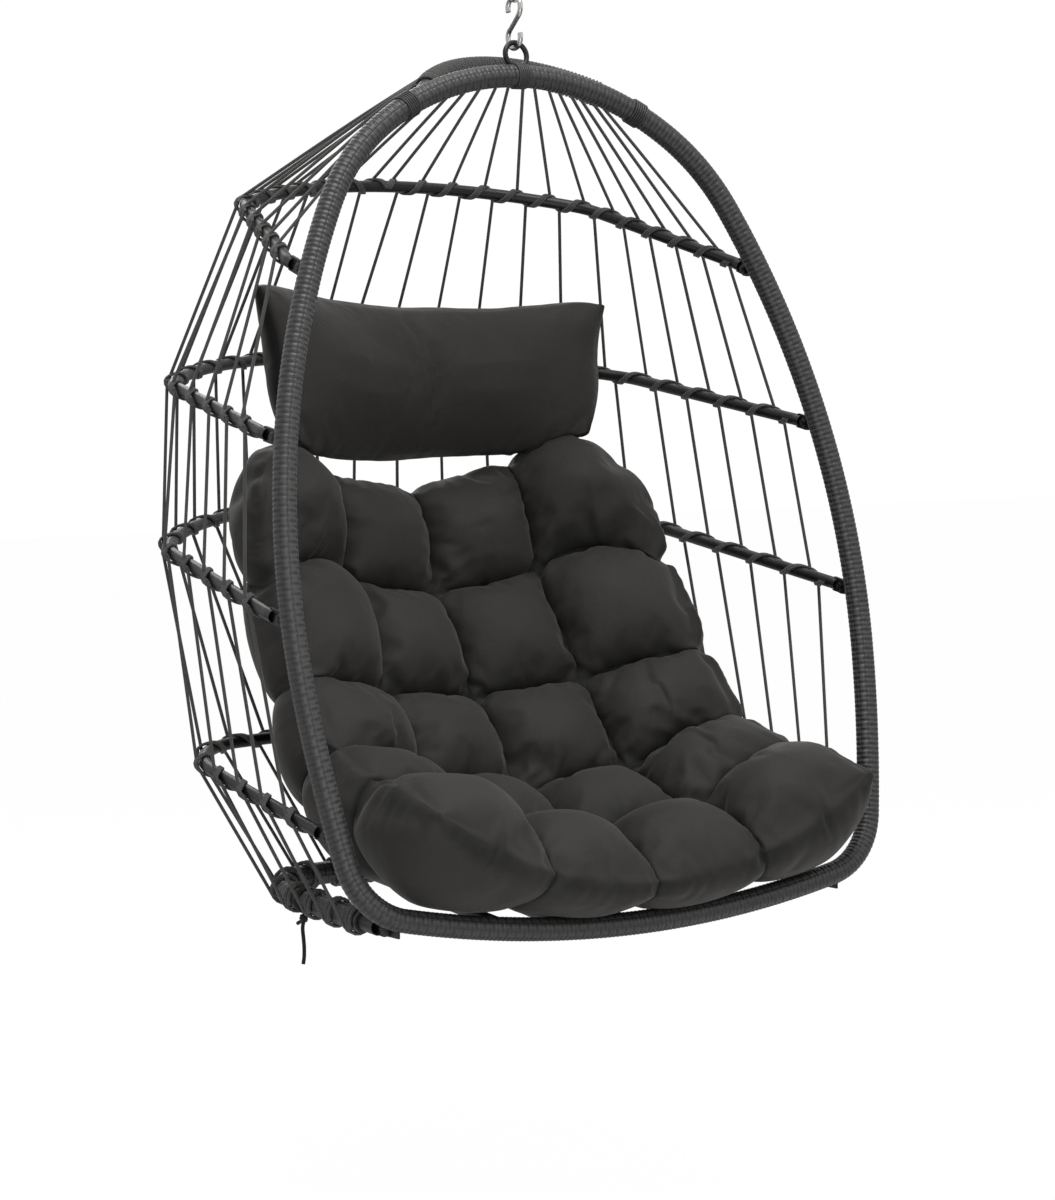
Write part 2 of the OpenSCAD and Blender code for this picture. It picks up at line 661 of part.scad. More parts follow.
pin_head_d = 13.5;
pin_head_h = 4.5;
module swivel_eye() {
    arm = swivel_r - swivel_corner_r;
    difference() {
        union() {
            in_xz() from([0, swivel_arm_z, 0]) run([
                [0, arm], [swivel_corner_r, 90], [0, swivel_leg], [swivel_r, 180],
                [0, swivel_leg], [swivel_corner_r, 90], [0, arm]
            ]) circle(d = swivel_d);
            translate([0, 0, swivel_split / 2]) cylinder(d = swivel_hub_d, h = swivel_hub_l);
        }
        cylinder(d = anchor_d + 2 * fit, h = 2 * swivel_hub_l);
        translate([0, 0, swivel_split / 2 - 10]) cylinder(d = 2 * swivel_hub_d, h = 10);
    }
}
module swivel_top_eye() {
    color(steel_bright) translate([0, 0, swivel_mid_z]) swivel_eye();
}
module swivel_bottom_eye() {
    color(steel_bright) translate([0, 0, swivel_mid_z]) mirror([0, 0, 1]) swivel_eye();
}
module swivel_pin() {
    reach = swivel_split / 2 + swivel_hub_l + fit;
    color(steel_bright) translate([0, 0, swivel_mid_z]) union() {
        translate([0, 0, -reach]) cylinder(d = anchor_d, h = 2 * reach);
        for (s = [0, 1]) mirror([0, 0, s]) translate([0, 0, reach]) cylinder(d = pin_head_d, h = pin_head_h);
    }
}

// ---- chain, S-hook and the chair's eye ----

module chain_link(n) {
    translate([0, 0, link1_z - (n - 1) * link_pitch - link_h / 2]) rotate([0, 0, n % 2 == 1 ? 0 : 90])
        in_xz() from([chain_r, -chain_leg / 2, 90]) run([
            [0, chain_leg], [chain_r, 180], [0, chain_leg], [chain_r, 180]
        ]) circle(d = chain_d);
}
module chain_link_1() {
    color(steel_bright) chain_link(1);
}
module chain_link_2() {
    color(steel_bright) chain_link(2);
}
module chain_link_3() {
    color(steel_bright) chain_link(3);
}
module chain_link_4() {
    color(steel_bright) chain_link(4);
}
module chain_link_5() {
    color(steel_bright) chain_link(5);
}
s_cross = asin(2 * s_r / s_gap);
s_tip = 20;
module s_half() {
    from([s_r * cos(s_tip), -s_r * sin(s_tip), 90 - s_tip])
        run([[s_r, 180 + s_cross + s_tip], [0, s_gap * cos(s_cross) / 2]]) circle(d = s_d);
}
module s_hook() {
    color(steel_bright) translate([0, 0, (s_top_z + s_low_z) / 2]) in_yz() union() {
        translate([0, s_gap / 2, 0]) s_half();
        rotate([0, 0, 180]) translate([0, s_gap / 2, 0]) s_half();
    }
}
module hanging_eye() {
    w = 4 * eye_r;
    color(paint_black) chair() ring_plane() difference() {
        translate([0, eye_up, 0]) torus(eye_r, eye_d / 2);
        translate([-w / 2, ring_h + ring_tube_d / 2 + fit - w, -w / 2]) cube([w, w, w]);
    }
}
strip_half = 9;
strip_t = 2;
strip_leg = 5;
eye_foot = eye_r - 1 - sqrt(pow(eye_r - eye_d / 2, 2) - pow(strip_leg, 2));
eye_reach = 17;
module notched_sleeve(t, notch) {
    slot = eye_d + 4 * fit;
    difference() {
        sleeve_profile(ring_tube_d, t);
        translate([ring_tube_d / 2 - 2, -slot / 2]) square([notch + 2, slot]);
    }
}
module eye_strip() {
    side = (strip_half - strip_leg) / 2;
    color(weave_grey) chair() {
        ring_arc(0, strip_leg) notched_sleeve(wrap_t + strip_t, eye_foot + 2 * fit);
        both_sides() ring_arc(strip_half - side, side - seam) notched_sleeve(wrap_t + strip_t, 3 * wrap_t);
    }
}

// ---- the ring: welded tube with its lugs, and the weave round it ----

lug_w = 18;
lug_gap = 0.3;
module hoop_frame_level(k) {
    translate(hoop_foot(k)) children();
}
function lug_up(k) = k < rail ? hoop_up[k] : rail_up;
module ring_frame() {
    color(paint_black) chair() ring_run() pipe_profile(ring_tube_d, ring_wall);
}
module ring_lugs() {
    color(paint_black) chair() for (k = [0:rail]) both_sides() difference() {
        hoop_frame_level(k) translate([hoop_half(k) - tab_t / 2 - lug_gap - lug_t, 0, 0])
            rotate([90, 0, 90]) linear_extrude(lug_t) difference() {
                union() {
                    circle(d = lug_w);
                    translate([-lug_reach, -lug_w / 2]) square([lug_reach, lug_w]);
                }
                circle(d = pivot_d + 0.5);
            }
        ring_bar(lug_up(k), ring_tube_d / 2 + fit);
    }
}
module lug_slots() {
    w = lug_w + 0.6;
    for (k = [0:rail]) hoop_frame_level(k) both_sides()
        translate([hoop_half(k) - tab_t / 2 - lug_gap - lug_t - 0.3, -lug_reach, -w / 2])
            cube([lug_t + 0.6, lug_reach, w]);
}
module ring_wrap() {
    side = (eye_reach - strip_half) / 2;
    color(weave_grey) chair() {
        difference() {
            ring_run(eye_reach / crown_r * 180 / PI) sleeve_profile(ring_tube_d, wrap_t);
            lug_slots();
        }
        both_sides() ring_arc(strip_half + side, side - seam) notched_sleeve(wrap_t, 3 * wrap_t);
    }
}
module arch_run() {
    arch_frame() both_sides() from(arch_start) run(arch_path, seam) children();
}
module arch_saddle() {
    both_sides() ring_arc(arch_half, 55) circle(r = wrap_r + fit);
}
module top_arch() {
    color(paint_black) chair() difference() {
        arch_run() pipe_profile(arch_tube_d, arch_wall);
        arch_saddle();
    }
}
module arch_wrap() {
    color(weave_grey) chair() difference() {
        arch_run() sleeve_profile(arch_tube_d, wrap_t);
        arch_saddle();
    }
}
lash_half = 8;
lash_out = 14;
module arch_lashings() {
    color(weave_grey) chair() both_sides() ring_arc(arch_half + arch_r + lash_out, lash_half) difference() {
        circle(r = wrap_r + strip_t);
        circle(r = wrap_r + fit);
    }
}

// ---- hoops, base rail and their bolts ----

module hoop_tab(k) {
    from(hoop_start(k)) translate([0, tab_t / 2, 0]) rotate([90, 0, 0]) linear_extrude(tab_t) difference() {
        union() {
            circle(d = tab_w);
            translate([0, -tab_w / 2]) square([tab_l - 3, tab_w]);
        }
        circle(d = pivot_d + 0.5);
    }
}
module hoop_tube(k, d, wall) {
    skip = [0, tab_l - tube_start];
    path = concat([skip], [for (i = [1:4]) hoop_path(k)[i]]);
    from(step(hoop_start(k), 0, tube_start)) run(path, seam) pipe_profile(d, wall);
}
module hoop(k) {
    color(paint_black) chair() hoop_frame(k) both_sides() union() {
        hoop_tube(k, hoop_d, hoop_wall);
        hoop_tab(k);
    }
}
module hoop_1() {
    hoop(0);
}
module hoop_2() {
    hoop(1);
}
module hoop_3() {
    hoop(2);
}
module hoop_4() {
    hoop(3);
}
rail_tube_d = 22;
rail_wall = 1.5;
module base_rail() {
    color(paint_black) chair() hoop_frame(rail) both_sides() union() {
        hoop_tube(rail, rail_tube_d, rail_wall);
        hoop_tab(rail);
    }
}
rail_wrap_skip = 22;
module base_rail_wrap() {
    path = [for (i = [0:4]) hoop_path(rail)[i]];
    legs = concat([[0, hoop_path(rail)[2][1] - rail_wrap_skip]], [path[3], path[4]]);
    start = path_at(path, hoop_start(rail), tab_l + piece_len(path[1]) + rail_wrap_skip);
    color(weave_grey) chair() hoop_frame(rail) both_sides() from(start) run(legs, seam)
        sleeve_profile(rail_tube_d, wrap_r - rail_tube_d / 2);
}
rail_rear_r = hoop_path(rail)[4][0];
rail_rear_y = path_end(hoop_path(rail), hoop_start(rail), 5)[1];
floor_wall = 1.2;
module floor_bars() {
    color(paint_black) chair() for (i = [0:floor_bars_n - 1]) {
        x = (i - (floor_bars_n - 1) / 2) * floor_pitch;
        up = bottom_up_at(x);
        v = asin(x / rail_rear_r);
        a = [x, up * sin(ring_lean), up * cos(ring_lean)];
        b = hoop_to_chair(rail, [x, rail_rear_y - rail_rear_r * (1 - cos(v)), 0]);
        difference() {
            rod(a, b, hoop_d / 2);
            rod(a, b, hoop_d / 2 - floor_wall);
            ring_plane() translate([x, up, 0]) rotate([0, 0, asin(x / bottom_r)]) rotate([0, 90, 0])
                cylinder(r = wrap_r + fit, h = 60, center = true);
            translate(b) rotate([rail_tilt, 0, 0]) rotate([0, 0, -v]) rotate([0, 90, 0])
                cylinder(r = wrap_r + fit, h = 60, center = true);
        }
    }
}
head_d = 13;
head_h = 3.2;
module pivot_sides(k) {
    hoop_frame_level(k) both_sides() translate([hoop_half(k), 0, 0]) rotate([0, 90, 0]) children();
}
module hoop_bolts() {
    inner = tab_t / 2 + lug_gap + lug_t + 6.5;
    color(steel_bright) chair() for (k = [0:rail]) pivot_sides(k) union() {
        translate([0, 0, -inner]) cylinder(d = pivot_d, h = inner + tab_t / 2 + fit);
        translate([0, 0, tab_t / 2 + fit]) cylinder(d1 = head_d, d2 = head_d - 5, h = head_h);
    }
}
module hoop_nuts() {
    seat = tab_t / 2 + lug_gap + lug_t + fit;
    color(steel_bright) chair() for (k = [0:rail]) pivot_sides(k) translate([0, 0, -seat - 5]) difference() {
        cylinder(d = 11.5, h = 5, $fn = 6);
        translate([0, 0, -1]) cylinder(d = pivot_d + 0.1, h = 7);
    }
}

// ---- rope net ----

module ropes_arch_to_1() {
    color(rope_grey) chair() rope_runs(0);
}
module ropes_1_to_2() {
    color(rope_grey) chair() rope_runs(1);
}
module ropes_2_to_3() {
    color(rope_grey) chair() rope_runs(2);
}
module ropes_3_to_4() {
    color(rope_grey) chair() rope_runs(3);
}
module ropes_4_to_base() {
    color(rope_grey) chair() rope_runs(4);
}
module hitches_arch() {
    color(rope_grey) chair() hitches(0);
}
module hitches_1() {
    color(rope_grey) chair() hitches(1);
}
module hitches_2() {
    color(rope_grey) chair() hitches(2);
}
module hitches_3() {
    color(rope_grey) chair() hitches(3);
}
module hitches_4() {
    color(rope_grey) chair() hitches(4);
}
module hitches_base() {
    color(rope_grey) chair() hitches(5);
}

// ---- cushion tie round the base rail, with its two free tails ----

tie_along = 183;
tie_w = 9;
tie_t = 1.2;
tie_gap = 0.35;
tie_at = path_at(hoop_path(rail), hoop_start(rail), tie_along);
knot_r = 6;
module tie_frame() {
    hoop_frame(rail) mirror([1, 0, 0]) from(tie_at) children();
}
module cushion_tie() {
    color(paint_black) chair() tie_frame() union() {
        rotate([0, 90, 0]) translate([0, 0, -tie_w / 2]) linear_extrude(tie_w) difference() {
            circle(r = wrap_r + tie_gap + tie_t);
            circle(r = wrap_r + tie_gap);
        }
        translate([0, -4, -wrap_r - tie_gap - knot_r]) sphere(knot_r);
    }
}
module tail(points, r) {
    sides = 8;
    n = len(points);
    function heading(i) = unit(points[min(i + 1, n - 1)] - points[max(i - 1, 0)]);
    function side(i) = unit(cross(heading(i), [1, 0.2, 0.1]));
    function rise(i) = cross(heading(i), side(i));
    polyhedron(
        points = [for (i = [0:n - 1]) for (a = [0:sides - 1])
            points[i] + r * cos(a * 360 / sides) * side(i) + r * sin(a * 360 / sides) * rise(i)],
        faces = concat(
            [[for (a = [0:sides - 1]) a]],
            [for (i = [0:n - 2]) for (a = [0:sides - 1])
                [i * sides + a, (i + 1) * sides + a, (i + 1) * sides + (a + 1) % sides]],
            [for (i = [0:n - 2]) for (a = [0:sides - 1])
                [i * sides + a, (i + 1) * sides + (a + 1) % sides, i * sides + (a + 1) % sides]],
            [[for (a = [sides - 1:-1:0]) (n - 1) * sides + a]]
        )
    );
}
tail_r = 2.5;
tail_root = [0, -4, -wrap_r - tie_gap - 2 * knot_r + 2];
tail_long_route = [[0, 0, 0], [0, -1, -10], [-1, 0, -22], [0, 2, -34], [1, 3, -46], [1, 2, -56]];
tail_short_route = [[0, 0, 0], [5, 4, -5], [12, 6, -8], [20, 6, -10], [27, 5, -14]];
module tie_tail_long() {
    color(paint_black) chair() tie_frame() translate(tail_root) tail(tail_long_route, tail_r);
}
module tie_tail_short() {
    color(paint_black) chair() tie_frame() translate(tail_root + [2, knot_r - 2, knot_r - 2])
        tail(tail_short_route, tail_r);
}

ceiling_plate();
ceiling_hook();
anchor_sleeves();
anchor_bolts();
anchor_washers();
anchor_nuts();
upper_carabiner();
upper_gate();
upper_gate_pin();
screw_sleeve();
swivel_top_eye();
swivel_pin();
swivel_bottom_eye();
lower_carabiner();
lower_gate();
lower_gate_pin();
chain_link_1();
chain_link_2();
chain_link_3();
chain_link_4();
chain_link_5();
s_hook();
hanging_eye();
eye_strip();
ring_frame();
ring_lugs();
ring_wrap();
top_arch();
arch_wrap();
arch_lashings();
hoop_1();
hoop_2();
hoop_3();
hoop_4();
base_rail();
base_rail_wrap();
floor_bars();
hoop_bolts();
hoop_nuts();
ropes_arch_to_1();
ropes_1_to_2();
ropes_2_to_3();
ropes_3_to_4();
ropes_4_to_base();
hitches_arch();
hitches_1();
hitches_2();
hitches_3();
hitches_4();
hitches_base();
seat_cushion();
head_pillow();
cushion_tie();
tie_tail_long();
tie_tail_short();
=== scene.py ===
"""Hanging egg chair: weave, rope net, cushions, finishes, floor, light and camera."""

import json
import math

import bmesh
import bpy
from mathutils import Matrix, Vector, noise
from mathutils.bvhtree import BVHTree

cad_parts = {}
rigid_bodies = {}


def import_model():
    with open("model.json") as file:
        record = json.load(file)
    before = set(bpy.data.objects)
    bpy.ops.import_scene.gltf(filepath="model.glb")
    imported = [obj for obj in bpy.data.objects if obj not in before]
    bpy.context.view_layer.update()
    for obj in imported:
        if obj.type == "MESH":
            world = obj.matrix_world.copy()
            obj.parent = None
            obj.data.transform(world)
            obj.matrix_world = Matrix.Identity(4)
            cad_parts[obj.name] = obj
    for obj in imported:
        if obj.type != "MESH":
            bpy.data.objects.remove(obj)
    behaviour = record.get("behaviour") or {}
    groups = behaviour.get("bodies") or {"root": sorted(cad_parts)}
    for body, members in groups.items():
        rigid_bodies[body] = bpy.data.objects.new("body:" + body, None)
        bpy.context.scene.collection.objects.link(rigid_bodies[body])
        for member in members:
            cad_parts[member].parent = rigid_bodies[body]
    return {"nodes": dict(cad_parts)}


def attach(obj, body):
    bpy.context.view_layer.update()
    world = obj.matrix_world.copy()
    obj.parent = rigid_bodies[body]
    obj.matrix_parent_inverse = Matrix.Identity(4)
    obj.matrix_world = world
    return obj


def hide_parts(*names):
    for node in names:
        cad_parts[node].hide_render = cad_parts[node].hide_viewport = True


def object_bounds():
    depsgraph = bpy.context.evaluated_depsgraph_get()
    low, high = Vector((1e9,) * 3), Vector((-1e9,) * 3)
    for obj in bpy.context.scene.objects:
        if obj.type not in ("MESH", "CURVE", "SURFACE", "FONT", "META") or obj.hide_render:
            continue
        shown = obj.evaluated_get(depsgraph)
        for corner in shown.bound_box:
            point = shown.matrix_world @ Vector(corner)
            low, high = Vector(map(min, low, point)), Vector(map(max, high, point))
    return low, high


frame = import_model()
cad_low, cad_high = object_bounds()
nodes = frame["nodes"]

MM = 0.001
TAU = 2 * math.pi


def deg(a):
    return math.radians(a)


def put(name, data):
    """A new object in the scene."""
    obj = bpy.data.objects.new(name, data)
    bpy.context.scene.collection.objects.link(obj)
    return obj


def put_mesh(name, bm):
    """A new object with the mesh of bm, which is freed."""
    mesh = bpy.data.meshes.new(name)
    bm.to_mesh(mesh)
    bm.free()
    return put(name, mesh)


# ---- the frame's own lines, in millimetres and degrees ----

RING_LEAN = 13
RING_TUBE_R = 12.5
RING_CORNER_R = 95
WRAP_T = 2.8
WRAP_R = RING_TUBE_R + WRAP_T
EYE_BAR_Z = -434.0
EYE_R = 16.5
EYE_SINK = 1
CHAIR_TIP = 0.51
LUG_REACH = 26
TAB_T = 4
TAB_L = 24
BEND_R = 30
ROPE_R = 2.25
HITCH_GAP = 0.3
HITCH_CLEAR = 2.6
ROPES_SIDE = 12
PAIR_HALF = 4.2
ARCH_FIRST = 50
FIRST_STATION = 36
ARCH_HALF = 152
ARCH_TURN = 55
ARCH_TILT = 32
ARCH_TUBE_R = 10.5
ARCH_R = ARCH_TUBE_R + WRAP_T
HOOP_TUBE_R = 8
RAIL_HALF = 345
RAIL_DROP = 15

# one value for each hoop from the top down; a fifth is the base rail's
HOOP_UP = [846, 634, 409, 142]
HOOP_TILT = [17.8, 9.3, 10.2, 10.6, 3.5]
HOOP_SPLAY = [17, 9, 7.3, 0.5, 0.5]
HOOP_LEG = [230, 295, 305, 245, 181]
HOOP_CORNER_R = [67, 81, 107, 118, 115]
HOOP_BOW = [35, 53, 53, 8, 3]
RAIL = 4

# the net's levels: the arch, the hoops as 1 to 4, and the base rail
ARCH, BASE = 0, 5
LEVEL_NAMES = ["arch", "1", "2", "3", "4", "base"]


def step(p, bend, v):
    """The place (x, y, heading in degrees) after a straight (bend 0) of length v, or after an
    arc of radius bend through v degrees."""
    x, y, h = p
    if bend == 0:
        return (x + v * math.cos(deg(h)), y + v * math.sin(deg(h)), h)
    return (
        x + bend * (math.sin(deg(h + v)) - math.sin(deg(h))),
        y + bend * (math.cos(deg(h)) - math.cos(deg(h + v))),
        h + v,
    )


def piece_len(s):
    return s[1] if s[0] == 0 else s[0] * deg(s[1])


def path_len(path):
    return sum(piece_len(s) for s in path)


def path_end(path, p):
    for s in path:
        p = step(p, *s)
    return p


def path_at(path, p, d):
    """The place at a distance d along a path that starts at p."""
    for i, s in enumerate(path):
        if d <= piece_len(s) or i == len(path) - 1:
            return step(p, s[0], d if s[0] == 0 else math.degrees(d / s[0]))
        d -= piece_len(s)
        p = step(p, *s)


ring_start = (0, 0, 0)
ring_lower = [(1650, 11.7), (RING_CORNER_R, 67), (1780, 7), (1111, 32.2), (290, 24.8)]
crown_turn = 180 - sum(s[1] for s in ring_lower)
crown_r = path_end(ring_lower, ring_start)[0] / math.sin(deg(crown_turn))
ring_path = ring_lower + [(crown_r, crown_turn)]
ring_h = path_end(ring_path, ring_start)[1]
hang_up = ring_h + RING_TUBE_R + EYE_R - EYE_SINK + EYE_R

chair_place = (
    Matrix.Translation((0, 0, EYE_BAR_Z))
    @ Matrix.Rotation(deg(CHAIR_TIP), 4, "X")
    @ Matrix.Rotation(deg(-RING_LEAN), 4, "X")
    @ Matrix.Translation((0, 0, -hang_up))
    @ Matrix.Rotation(deg(RING_LEAN), 4, "X")
)
chair_turn = chair_place.to_3x3()


def in_chair(v):
    """A point of the chair, in millimetres, as a place in the row frame, in metres."""
    return (chair_place @ Vector(v)) * MM


def mirrored(point):
    return Vector((-point[0], point[1], point[2]))


def ring_half_at(up):
    """Half the ring's width at a height in its plane."""
    p = ring_start
    for s in ring_path:
        q = step(p, *s)
        if q[1] >= up:
            r = s[0]
            rise = up - p[1] - r * math.cos(deg(p[2]))
            return p[0] - r * math.sin(deg(p[2])) + math.sqrt(r * r - rise**2)
        p = q


def ring_to_chair(x, up, out=0.0):
    """A point of the ring's plane; out is its distance in front of it."""
    c, s = math.cos(deg(RING_LEAN)), math.sin(deg(RING_LEAN))
    return Vector((x, up * s - out * c, up * c + out * s))


first = path_end(ring_path[:1], ring_start)
rail_heading = math.degrees(
    math.asin(math.sin(deg(first[2])) + (RAIL_HALF - first[0]) / RING_CORNER_R)
)
rail_up = first[1] + RING_CORNER_R * (math.cos(deg(first[2])) - math.cos(deg(rail_heading)))


def hoop_start(k):
    half = ring_half_at(HOOP_UP[k]) if k < RAIL else RAIL_HALF
    return (half + TAB_T / 2, 0, 90)


def hoop_path(k):
    """Half of a hoop or of the base rail, from its bolt to its middle."""
    legs = [
        (0, TAB_L),
        (BEND_R, HOOP_SPLAY[k]),
        (0, HOOP_LEG[k]),
        (HOOP_CORNER_R[k], 90 - HOOP_SPLAY[k] - HOOP_BOW[k]),
    ]
    end = path_end(legs, hoop_start(k))
    return legs + [(end[0] / math.sin(deg(HOOP_BOW[k])), HOOP_BOW[k])]


def hoop_foot(k):
    up = HOOP_UP[k] if k < RAIL else rail_up
    drop = 0 if k < RAIL else RAIL_DROP
    s, c = math.sin(deg(RING_LEAN)), math.cos(deg(RING_LEAN))
    return Vector((0, up * s + LUG_REACH, up * c - drop))


def tilted(foot, tilt, v):
    c, s = math.cos(deg(tilt)), math.sin(deg(tilt))
    return foot + Vector((v[0], v[1] * c - v[2] * s, v[1] * s + v[2] * c))


arch_up = ring_h - crown_r + math.sqrt(crown_r**2 - ARCH_HALF**2)
arch_foot = ring_to_chair(0, arch_up)
arch_path = [(ARCH_HALF / math.sin(deg(ARCH_TURN)), ARCH_TURN)]
arch_start = (ARCH_HALF, 0, 180 - ARCH_TURN)

level_paths = [arch_path] + [hoop_path(k) for k in range(5)]
level_starts = [arch_start] + [hoop_start(k) for k in range(5)]
level_tube_r = [ARCH_R] + [HOOP_TUBE_R] * 4 + [WRAP_R]


def level_to_chair(n, v):
    if n == ARCH:
        return tilted(arch_foot, ARCH_TILT, v)
    return tilted(hoop_foot(n - 1), HOOP_TILT[n - 1], v)


def level_place(n, d):
    """Centre, heading and right-hand direction of a level's tube, d along it, in the chair."""
    x, y, h = path_at(level_paths[n], level_starts[n], d)
    centre = level_to_chair(n, (x, y, 0))
    ahead = level_to_chair(n, (x + math.cos(deg(h)), y + math.sin(deg(h)), 0)) - centre
    right = level_to_chair(n, (x + math.sin(deg(h)), y - math.cos(deg(h)), 0)) - centre
    return centre, ahead, right


def around_tube(n, d, a, r):
    """A point at the angle a and the distance r from the centre of a level's tube, d along it."""
    centre, ahead, right = level_place(n, d)
    return centre + r * (math.cos(a) * right + math.sin(a) * ahead.cross(right))


def station(n, i):
    """How far along its level a rope is hitched: in pairs on the arch, evenly elsewhere."""
    if n == ARCH:
        cells = ROPES_SIDE / 2
        return (
            ARCH_FIRST
            + (path_len(arch_path) - ARCH_FIRST) * (i // 2 + 0.5) / cells
            + PAIR_HALF * (-1 if i % 2 == 0 else 1)
        )
    return FIRST_STATION + (path_len(level_paths[n]) - FIRST_STATION) * (i + 0.5) / ROPES_SIDE


def hitch_r(n):
    return level_tube_r[n] + ROPE_R + HITCH_GAP


# how far beside its station a rope meets a level, and leaves it
beside = 2 * ROPE_R + HITCH_CLEAR


def rope_off(n, i, d, r):
    """The offset from the tube's centre to a rope that passes outside it in the direction d."""
    ahead, right = level_place(n, station(n, i))[1:]
    c = d.cross(ahead).normalized()
    return r * (1 if c.dot(right) > 0 else -1) * c


def rope_run(n, i):
    """Start and end of the rope's centre line between two levels, and its direction."""
    a = level_place(n, station(n, i) - (0 if n == ARCH else beside))[0]
    b = level_place(n + 1, station(n + 1, i) + beside)[0]
    d = (b - a).normalized()
    over = beside if n == ARCH else 0
    return a + rope_off(n, i, d, hitch_r(n) + over), b + rope_off(n + 1, i, d, hitch_r(n + 1)), d


# ---- camera ----

CAMERA_AZIMUTH = -34.95
CAMERA_ELEVATION = 4.64
CAMERA_TARGET = Vector((0, 123.26, 536.01))
CAMERA_LEFT = 59.82
CAMERA_DOWN = 134.49
CAMERA_BACK = 4869.45
FOCAL_PIXELS = 3812.99
FRAME_PIXELS = 1200
SENSOR = 36


def make_camera():
    az, el = deg(CAMERA_AZIMUTH), deg(CAMERA_ELEVATION)
    right = Vector((math.cos(az), math.sin(az), 0))
    ahead = Vector((-math.sin(az) * math.cos(el), math.cos(az) * math.cos(el), -math.sin(el)))
    up = right.cross(ahead)
    centre = CAMERA_TARGET - CAMERA_LEFT * right - CAMERA_DOWN * up - CAMERA_BACK * ahead
    basis = Matrix((chair_turn @ right, chair_turn @ up, chair_turn @ -ahead)).transposed()
    data = bpy.data.cameras.new("camera")
    data.sensor_width = SENSOR
    data.lens = FOCAL_PIXELS * SENSOR / FRAME_PIXELS
    data.clip_start = 0.1
    data.clip_end = 60
    cam = put("camera", data)
    cam.matrix_world = Matrix.Translation(in_chair(centre)) @ basis.to_4x4()
    bpy.context.scene.camera = cam


make_camera()


# ---- finishes ----


class Finish:
    """A node material that is put together a step at a time."""

    def __init__(self, name):
        self.mat = bpy.data.materials.new(name)
        self.mat.use_nodes = True
        self.tree = self.mat.node_tree
        self.bsdf = self.tree.nodes["Principled BSDF"]
        self.coords = self.tree.nodes.new("ShaderNodeTexCoord")

    def set(self, **values):
        for key, value in values.items():
            self.bsdf.inputs[key.replace("_", " ")].default_value = value
        return self

    def node(self, kind, **settings):
        n = self.tree.nodes.new(kind)
        for key, value in settings.items():
            if key.startswith("in_"):
                n.inputs[key[3:].replace("_", " ")].default_value = value
            else:
                setattr(n, key, value)
        return n

    def link(self, a, b):
        self.tree.links.new(a, b)

    def place(self, kind="Object", scale=(1, 1, 1), turn=(0, 0, 0)):
        m = self.node("ShaderNodeMapping", in_Scale=scale, in_Rotation=turn)
        self.link(self.coords.outputs[kind], m.inputs["Vector"])
        return m.outputs["Vector"]

    def grain(self, vector, scale, detail, rough=0.55, distortion=0.0):
        n = self.node("ShaderNodeTexNoise", in_Scale=scale, in_Detail=detail)
        n.inputs["Roughness"].default_value = rough
        n.inputs["Distortion"].default_value = distortion
        self.link(vector, n.inputs["Vector"])
        return n.outputs["Fac"]

    def wave(self, vector, scale, direction, distortion=0.0):
        """Smooth bands with a period of 2 pi / (20 * scale)."""
        n = self.node("ShaderNodeTexWave", wave_type="BANDS", bands_direction=direction)
        n.wave_profile = "SIN"
        n.inputs["Scale"].default_value = scale
        n.inputs["Distortion"].default_value = distortion
        self.link(vector, n.inputs["Vector"])
        return n.outputs["Fac"]

    def math(self, operation, *values):
        """Each value is a number or a socket."""
        n = self.node("ShaderNodeMath", operation=operation)
        for socket, value in zip(n.inputs, values):
            if isinstance(value, (int, float)):
                socket.default_value = value
            else:
                self.link(value, socket)
        return n.outputs[0]

    def signed(self, wave):
        """A wave of 0 to 1 as one of -1 to 1."""
        return self.math("MULTIPLY_ADD", wave, 2.0, -1.0)

    def total(self, *pairs):
        """Each pair is a socket and its share."""
        done = None
        for socket, share in pairs:
            part = self.math("MULTIPLY", socket, share)
            done = self.math("ADD", done, part) if done else part
        return done

    def ramp(self, fac, stops):
        n = self.node("ShaderNodeValToRGB")
        ramp = n.color_ramp
        for element, (at, colour) in zip(ramp.elements, (stops[0], stops[-1])):
            element.position, element.color = at, colour + (1,)
        for at, colour in stops[1:-1]:
            ramp.elements.new(at).color = colour + (1,)
        self.link(fac, n.inputs["Fac"])
        return n.outputs["Color"]

    def between(self, fac, low, high):
        n = self.node("ShaderNodeMapRange", in_To_Min=low, in_To_Max=high)
        self.link(fac, n.inputs["Value"])
        return n.outputs["Result"]

    def colour(self, socket):
        self.link(socket, self.bsdf.inputs["Base Color"])

    def rough(self, socket):
        self.link(socket, self.bsdf.inputs["Roughness"])

    def bumps(self, *pairs):
        """Each pair is a height socket and its depth in metres."""
        before = None
        for height, depth in pairs:
            b = self.node("ShaderNodeBump", in_Strength=1.0, in_Distance=depth)
            self.link(height, b.inputs["Height"])
            if before:
                self.link(before, b.inputs["Normal"])
            before = b.outputs["Normal"]
        self.link(before, self.bsdf.inputs["Normal"])


def grey(v, warm=0.0):
    return (v * (1 + warm), v, v * (1 - warm))


def metal_finish(name, tone, roughness, brushed):
    f = Finish(name).set(Metallic=1.0)
    broad = f.grain(f.place(), 60, 4)
    fine = f.grain(f.place(scale=(1, 1, 0.08)), 1800 if brushed else 900, 2)
    f.colour(f.ramp(broad, [(0.3, grey(tone * 0.88, 0.03)), (0.7, grey(tone, 0.02))]))
    lines = f.math("MULTIPLY_ADD", fine, 0.6, 0.5)
    f.rough(f.between(lines, roughness * 0.8, roughness * 1.5))
    f.bumps((fine, 0.00002 if brushed else 0.000008), (broad, 0.00003))
    return f.mat


